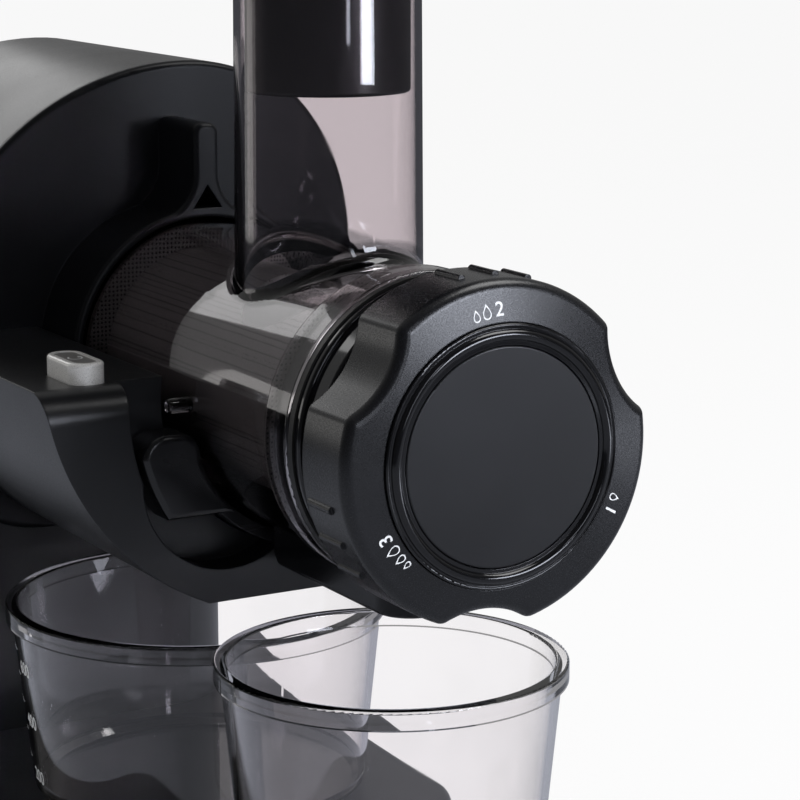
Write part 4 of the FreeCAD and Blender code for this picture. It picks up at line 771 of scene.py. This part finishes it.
def soft_box(name, at, aim, size, glow, tint=WHITE):
    """A flat lamp whose face is as bright as glow, where white paper is 1."""
    wide, high = size
    lamp = bpy.data.lights.new(name, "AREA")
    lamp.shape, lamp.size, lamp.size_y = "RECTANGLE", wide, high
    lamp.energy, lamp.color = math.pi * wide * high * glow, tint
    holder = bpy.data.objects.new(name, lamp)
    bpy.context.scene.collection.objects.link(holder)
    holder.location = at
    holder.rotation_euler = (Vector(aim) - Vector(at)).to_track_quat("-Z", "Y").to_euler()


class JUICER_OT_stage(bpy.types.Operator):
    """Pale floor, soft studio light and the camera at the photograph's angle"""
    bl_idname = "juicer.stage"
    bl_label = "Studio"

    def execute(self, context):
        scene, stage = context.scene, context.scene.juicer_stage
        scene.view_settings.view_transform = "Standard"
        self.camera(scene, stage)
        self.floor(scene, stage)
        self.world(scene, stage)
        self.lamps(stage)
        return {"FINISHED"}

    def camera(self, scene, stage):
        """The camera, level across and turned by its azimuth and dip."""
        turn, dip = math.radians(stage.azimuth), math.radians(stage.dip)
        right = Vector((math.cos(turn), math.sin(turn), 0))
        ahead = Vector((-math.sin(turn) * math.cos(dip), math.cos(turn) * math.cos(dip), -math.sin(dip)))
        up = right.cross(ahead)
        data = bpy.data.cameras.new("photo_camera")
        data.sensor_width, data.lens = 36.0, stage.lens
        data.clip_start, data.clip_end = 0.01, 60.0
        eye = bpy.data.objects.new("photo_camera", data)
        axes = Matrix((right, up, -ahead)).transposed().to_4x4()
        eye.matrix_world = Matrix.Translation(stage.eye) @ axes
        scene.collection.objects.link(eye)
        scene.camera = eye

    def floor(self, scene, stage):
        """A pale plane with the part's shadow; in mirrors it darkens away from the part."""
        reach, lit_share = 9.0, 0.1
        distances, mirrored_light = (0.8, 1.5), (0.45, 0.07)
        corners = [(-reach, -reach, 0), (reach, -reach, 0), (reach, reach, 0), (-reach, reach, 0)]
        mesh = bpy.data.meshes.new("floor")
        mesh.from_pydata(corners, [], [(0, 1, 2, 3)])
        piece = bpy.data.objects.new("floor", mesh)
        scene.collection.objects.link(piece)
        paint, tree, shader = new_material("floor_paint")
        hold(shader, Base_Color=rgba(stage.floor), Roughness=0.9, Specular_IOR_Level=0.1)
        seen = put(tree, "ShaderNodeLightPath").outputs
        direct, bounced = self.direct(tree, seen), self.bounced(tree, seen)
        where = put(tree, "ShaderNodeNewGeometry").outputs["Position"]
        far = vectors(tree, "LENGTH", where, gives="Value")
        mirrored = vectors(tree, "MULTIPLY", spread(tree, far, distances, mirrored_light), tuple(stage.cool))
        glow = put(tree, "ShaderNodeEmission",
                   {"Color": blend(tree, direct, mirrored, rgba(WHITE)), "Strength": 1.0})
        share = sums(tree, "SUBTRACT", sums(tree, "MAXIMUM", direct, bounced),
                     sums(tree, "MULTIPLY", direct, lit_share))
        mixed = put(tree, "ShaderNodeMixShader",
                    {0: share, 1: shader.outputs["BSDF"], 2: glow.outputs["Emission"]})
        feed(tree, tree.nodes["Material Output"], Surface=mixed.outputs["Shader"])
        mesh.materials.append(paint)

    def direct(self, tree, seen):
        """1 for what the eye sees straight or through glass, 0 once a ray has been mirrored."""
        unmirrored = sums(tree, "LESS_THAN", seen["Glossy Depth"], 0.5)
        return sums(tree, "MAXIMUM", seen["Is Camera Ray"],
                    sums(tree, "MULTIPLY", seen["Is Transmission Ray"], unmirrored))

    def bounced(self, tree, seen):
        """1 for what shows in gloss or through glass."""
        return sums(tree, "MAXIMUM", seen["Is Glossy Ray"], seen["Is Transmission Ray"])

    def world(self, scene, stage):
        """White behind the part for eye and glass; reflections fade to grey on the camera's side."""
        sides, mirrored_light = (-0.6, 0.6), (0.3, 0.05)
        scene.world = bpy.data.worlds.new("studio")
        scene.world.use_nodes = True
        tree = scene.world.node_tree
        ground = tree.nodes["Background"]
        at = put(tree, "ShaderNodeTexCoord").outputs["Generated"]
        turn = math.radians(stage.azimuth)
        towards = vectors(tree, "DOT_PRODUCT", at, (math.sin(turn), -math.cos(turn), 0.0), gives="Value")
        fade = spread(tree, towards, sides, mirrored_light)
        seen = put(tree, "ShaderNodeLightPath").outputs
        direct, bounced = self.direct(tree, seen), self.bounced(tree, seen)
        shiny = put(tree, "ShaderNodeMix", {"Factor": bounced, "A": stage.world, "B": fade}).outputs["Result"]
        strength = put(tree, "ShaderNodeMix", {"Factor": direct, "A": shiny, "B": 1.0}).outputs["Result"]
        hold(ground, Color=rgba(WHITE))
        feed(tree, ground, Strength=strength)

    def lamps(self, stage):
        """Low lamps behind the head and at the left, cool ones round the dial, and one overhead."""
        cool, warm = tuple(stage.cool), tuple(stage.warm)
        soft_box("rim_softbox", (-0.44, -0.05, 0.43), aim=(-0.1, -0.05, 0.24), size=(0.3, 0.18), glow=1.7)
        soft_box("left_softbox", (-0.40, -0.40, 0.20), aim=(0.07, 0.0, 0.30), size=(0.2, 0.13), glow=1.0,
                 tint=warm)
        soft_box("right_softbox", (0.80, 0.29, 0.31), aim=(0.18, 0.0, 0.2), size=(0.26, 0.2), glow=16.0,
                 tint=cool)
        soft_box("floor_card", (0.72, 0.68, 0.002), aim=(0.72, 0.68, 1.0), size=(0.4, 0.3), glow=5.0,
                 tint=cool)
        soft_box("strip", (1.9, -0.1, 0.7), aim=(0.05, 0.0, 0.22), size=(0.14, 1.1), glow=6.0, tint=cool)
        soft_box("overhead", (0.45, 0.7, 1.55), aim=(0.1, 0.0, 0.15), size=(0.8, 0.8), glow=5.5)


class JUICER_PT_dressing(bpy.types.Panel):
    """Lists the dressing steps"""
    bl_label = "Slow juicer"
    bl_idname = "JUICER_PT_dressing"
    bl_space_type = "VIEW_3D"
    bl_region_type = "UI"
    bl_category = "Juicer"

    def draw(self, context):
        for step in STEPS:
            self.layout.operator(step.bl_idname)


STEPS = (JUICER_OT_shell, JUICER_OT_back, JUICER_OT_button, JUICER_OT_drum, JUICER_OT_dial, JUICER_OT_feeding,
         JUICER_OT_cups, JUICER_OT_drive, JUICER_OT_stage)
GROUPS = {"juicer_finishes": JuicerFinishes, "juicer_sizes": JuicerSizes, "juicer_stage": JuicerStage}


def register():
    for made in (*GROUPS.values(), *STEPS, JUICER_PT_dressing):
        bpy.utils.register_class(made)
    for name, made in GROUPS.items():
        setattr(bpy.types.Scene, name, PointerProperty(type=made))


def unregister():
    for name in GROUPS:
        delattr(bpy.types.Scene, name)
    for made in reversed((*GROUPS.values(), *STEPS, JUICER_PT_dressing)):
        bpy.utils.unregister_class(made)


def main():
    """Dress the part step by step."""
    register()
    for step in STEPS:
        family, name = step.bl_idname.split(".")
        getattr(getattr(bpy.ops, family), name)()


if __name__ == "__main__":
    main()
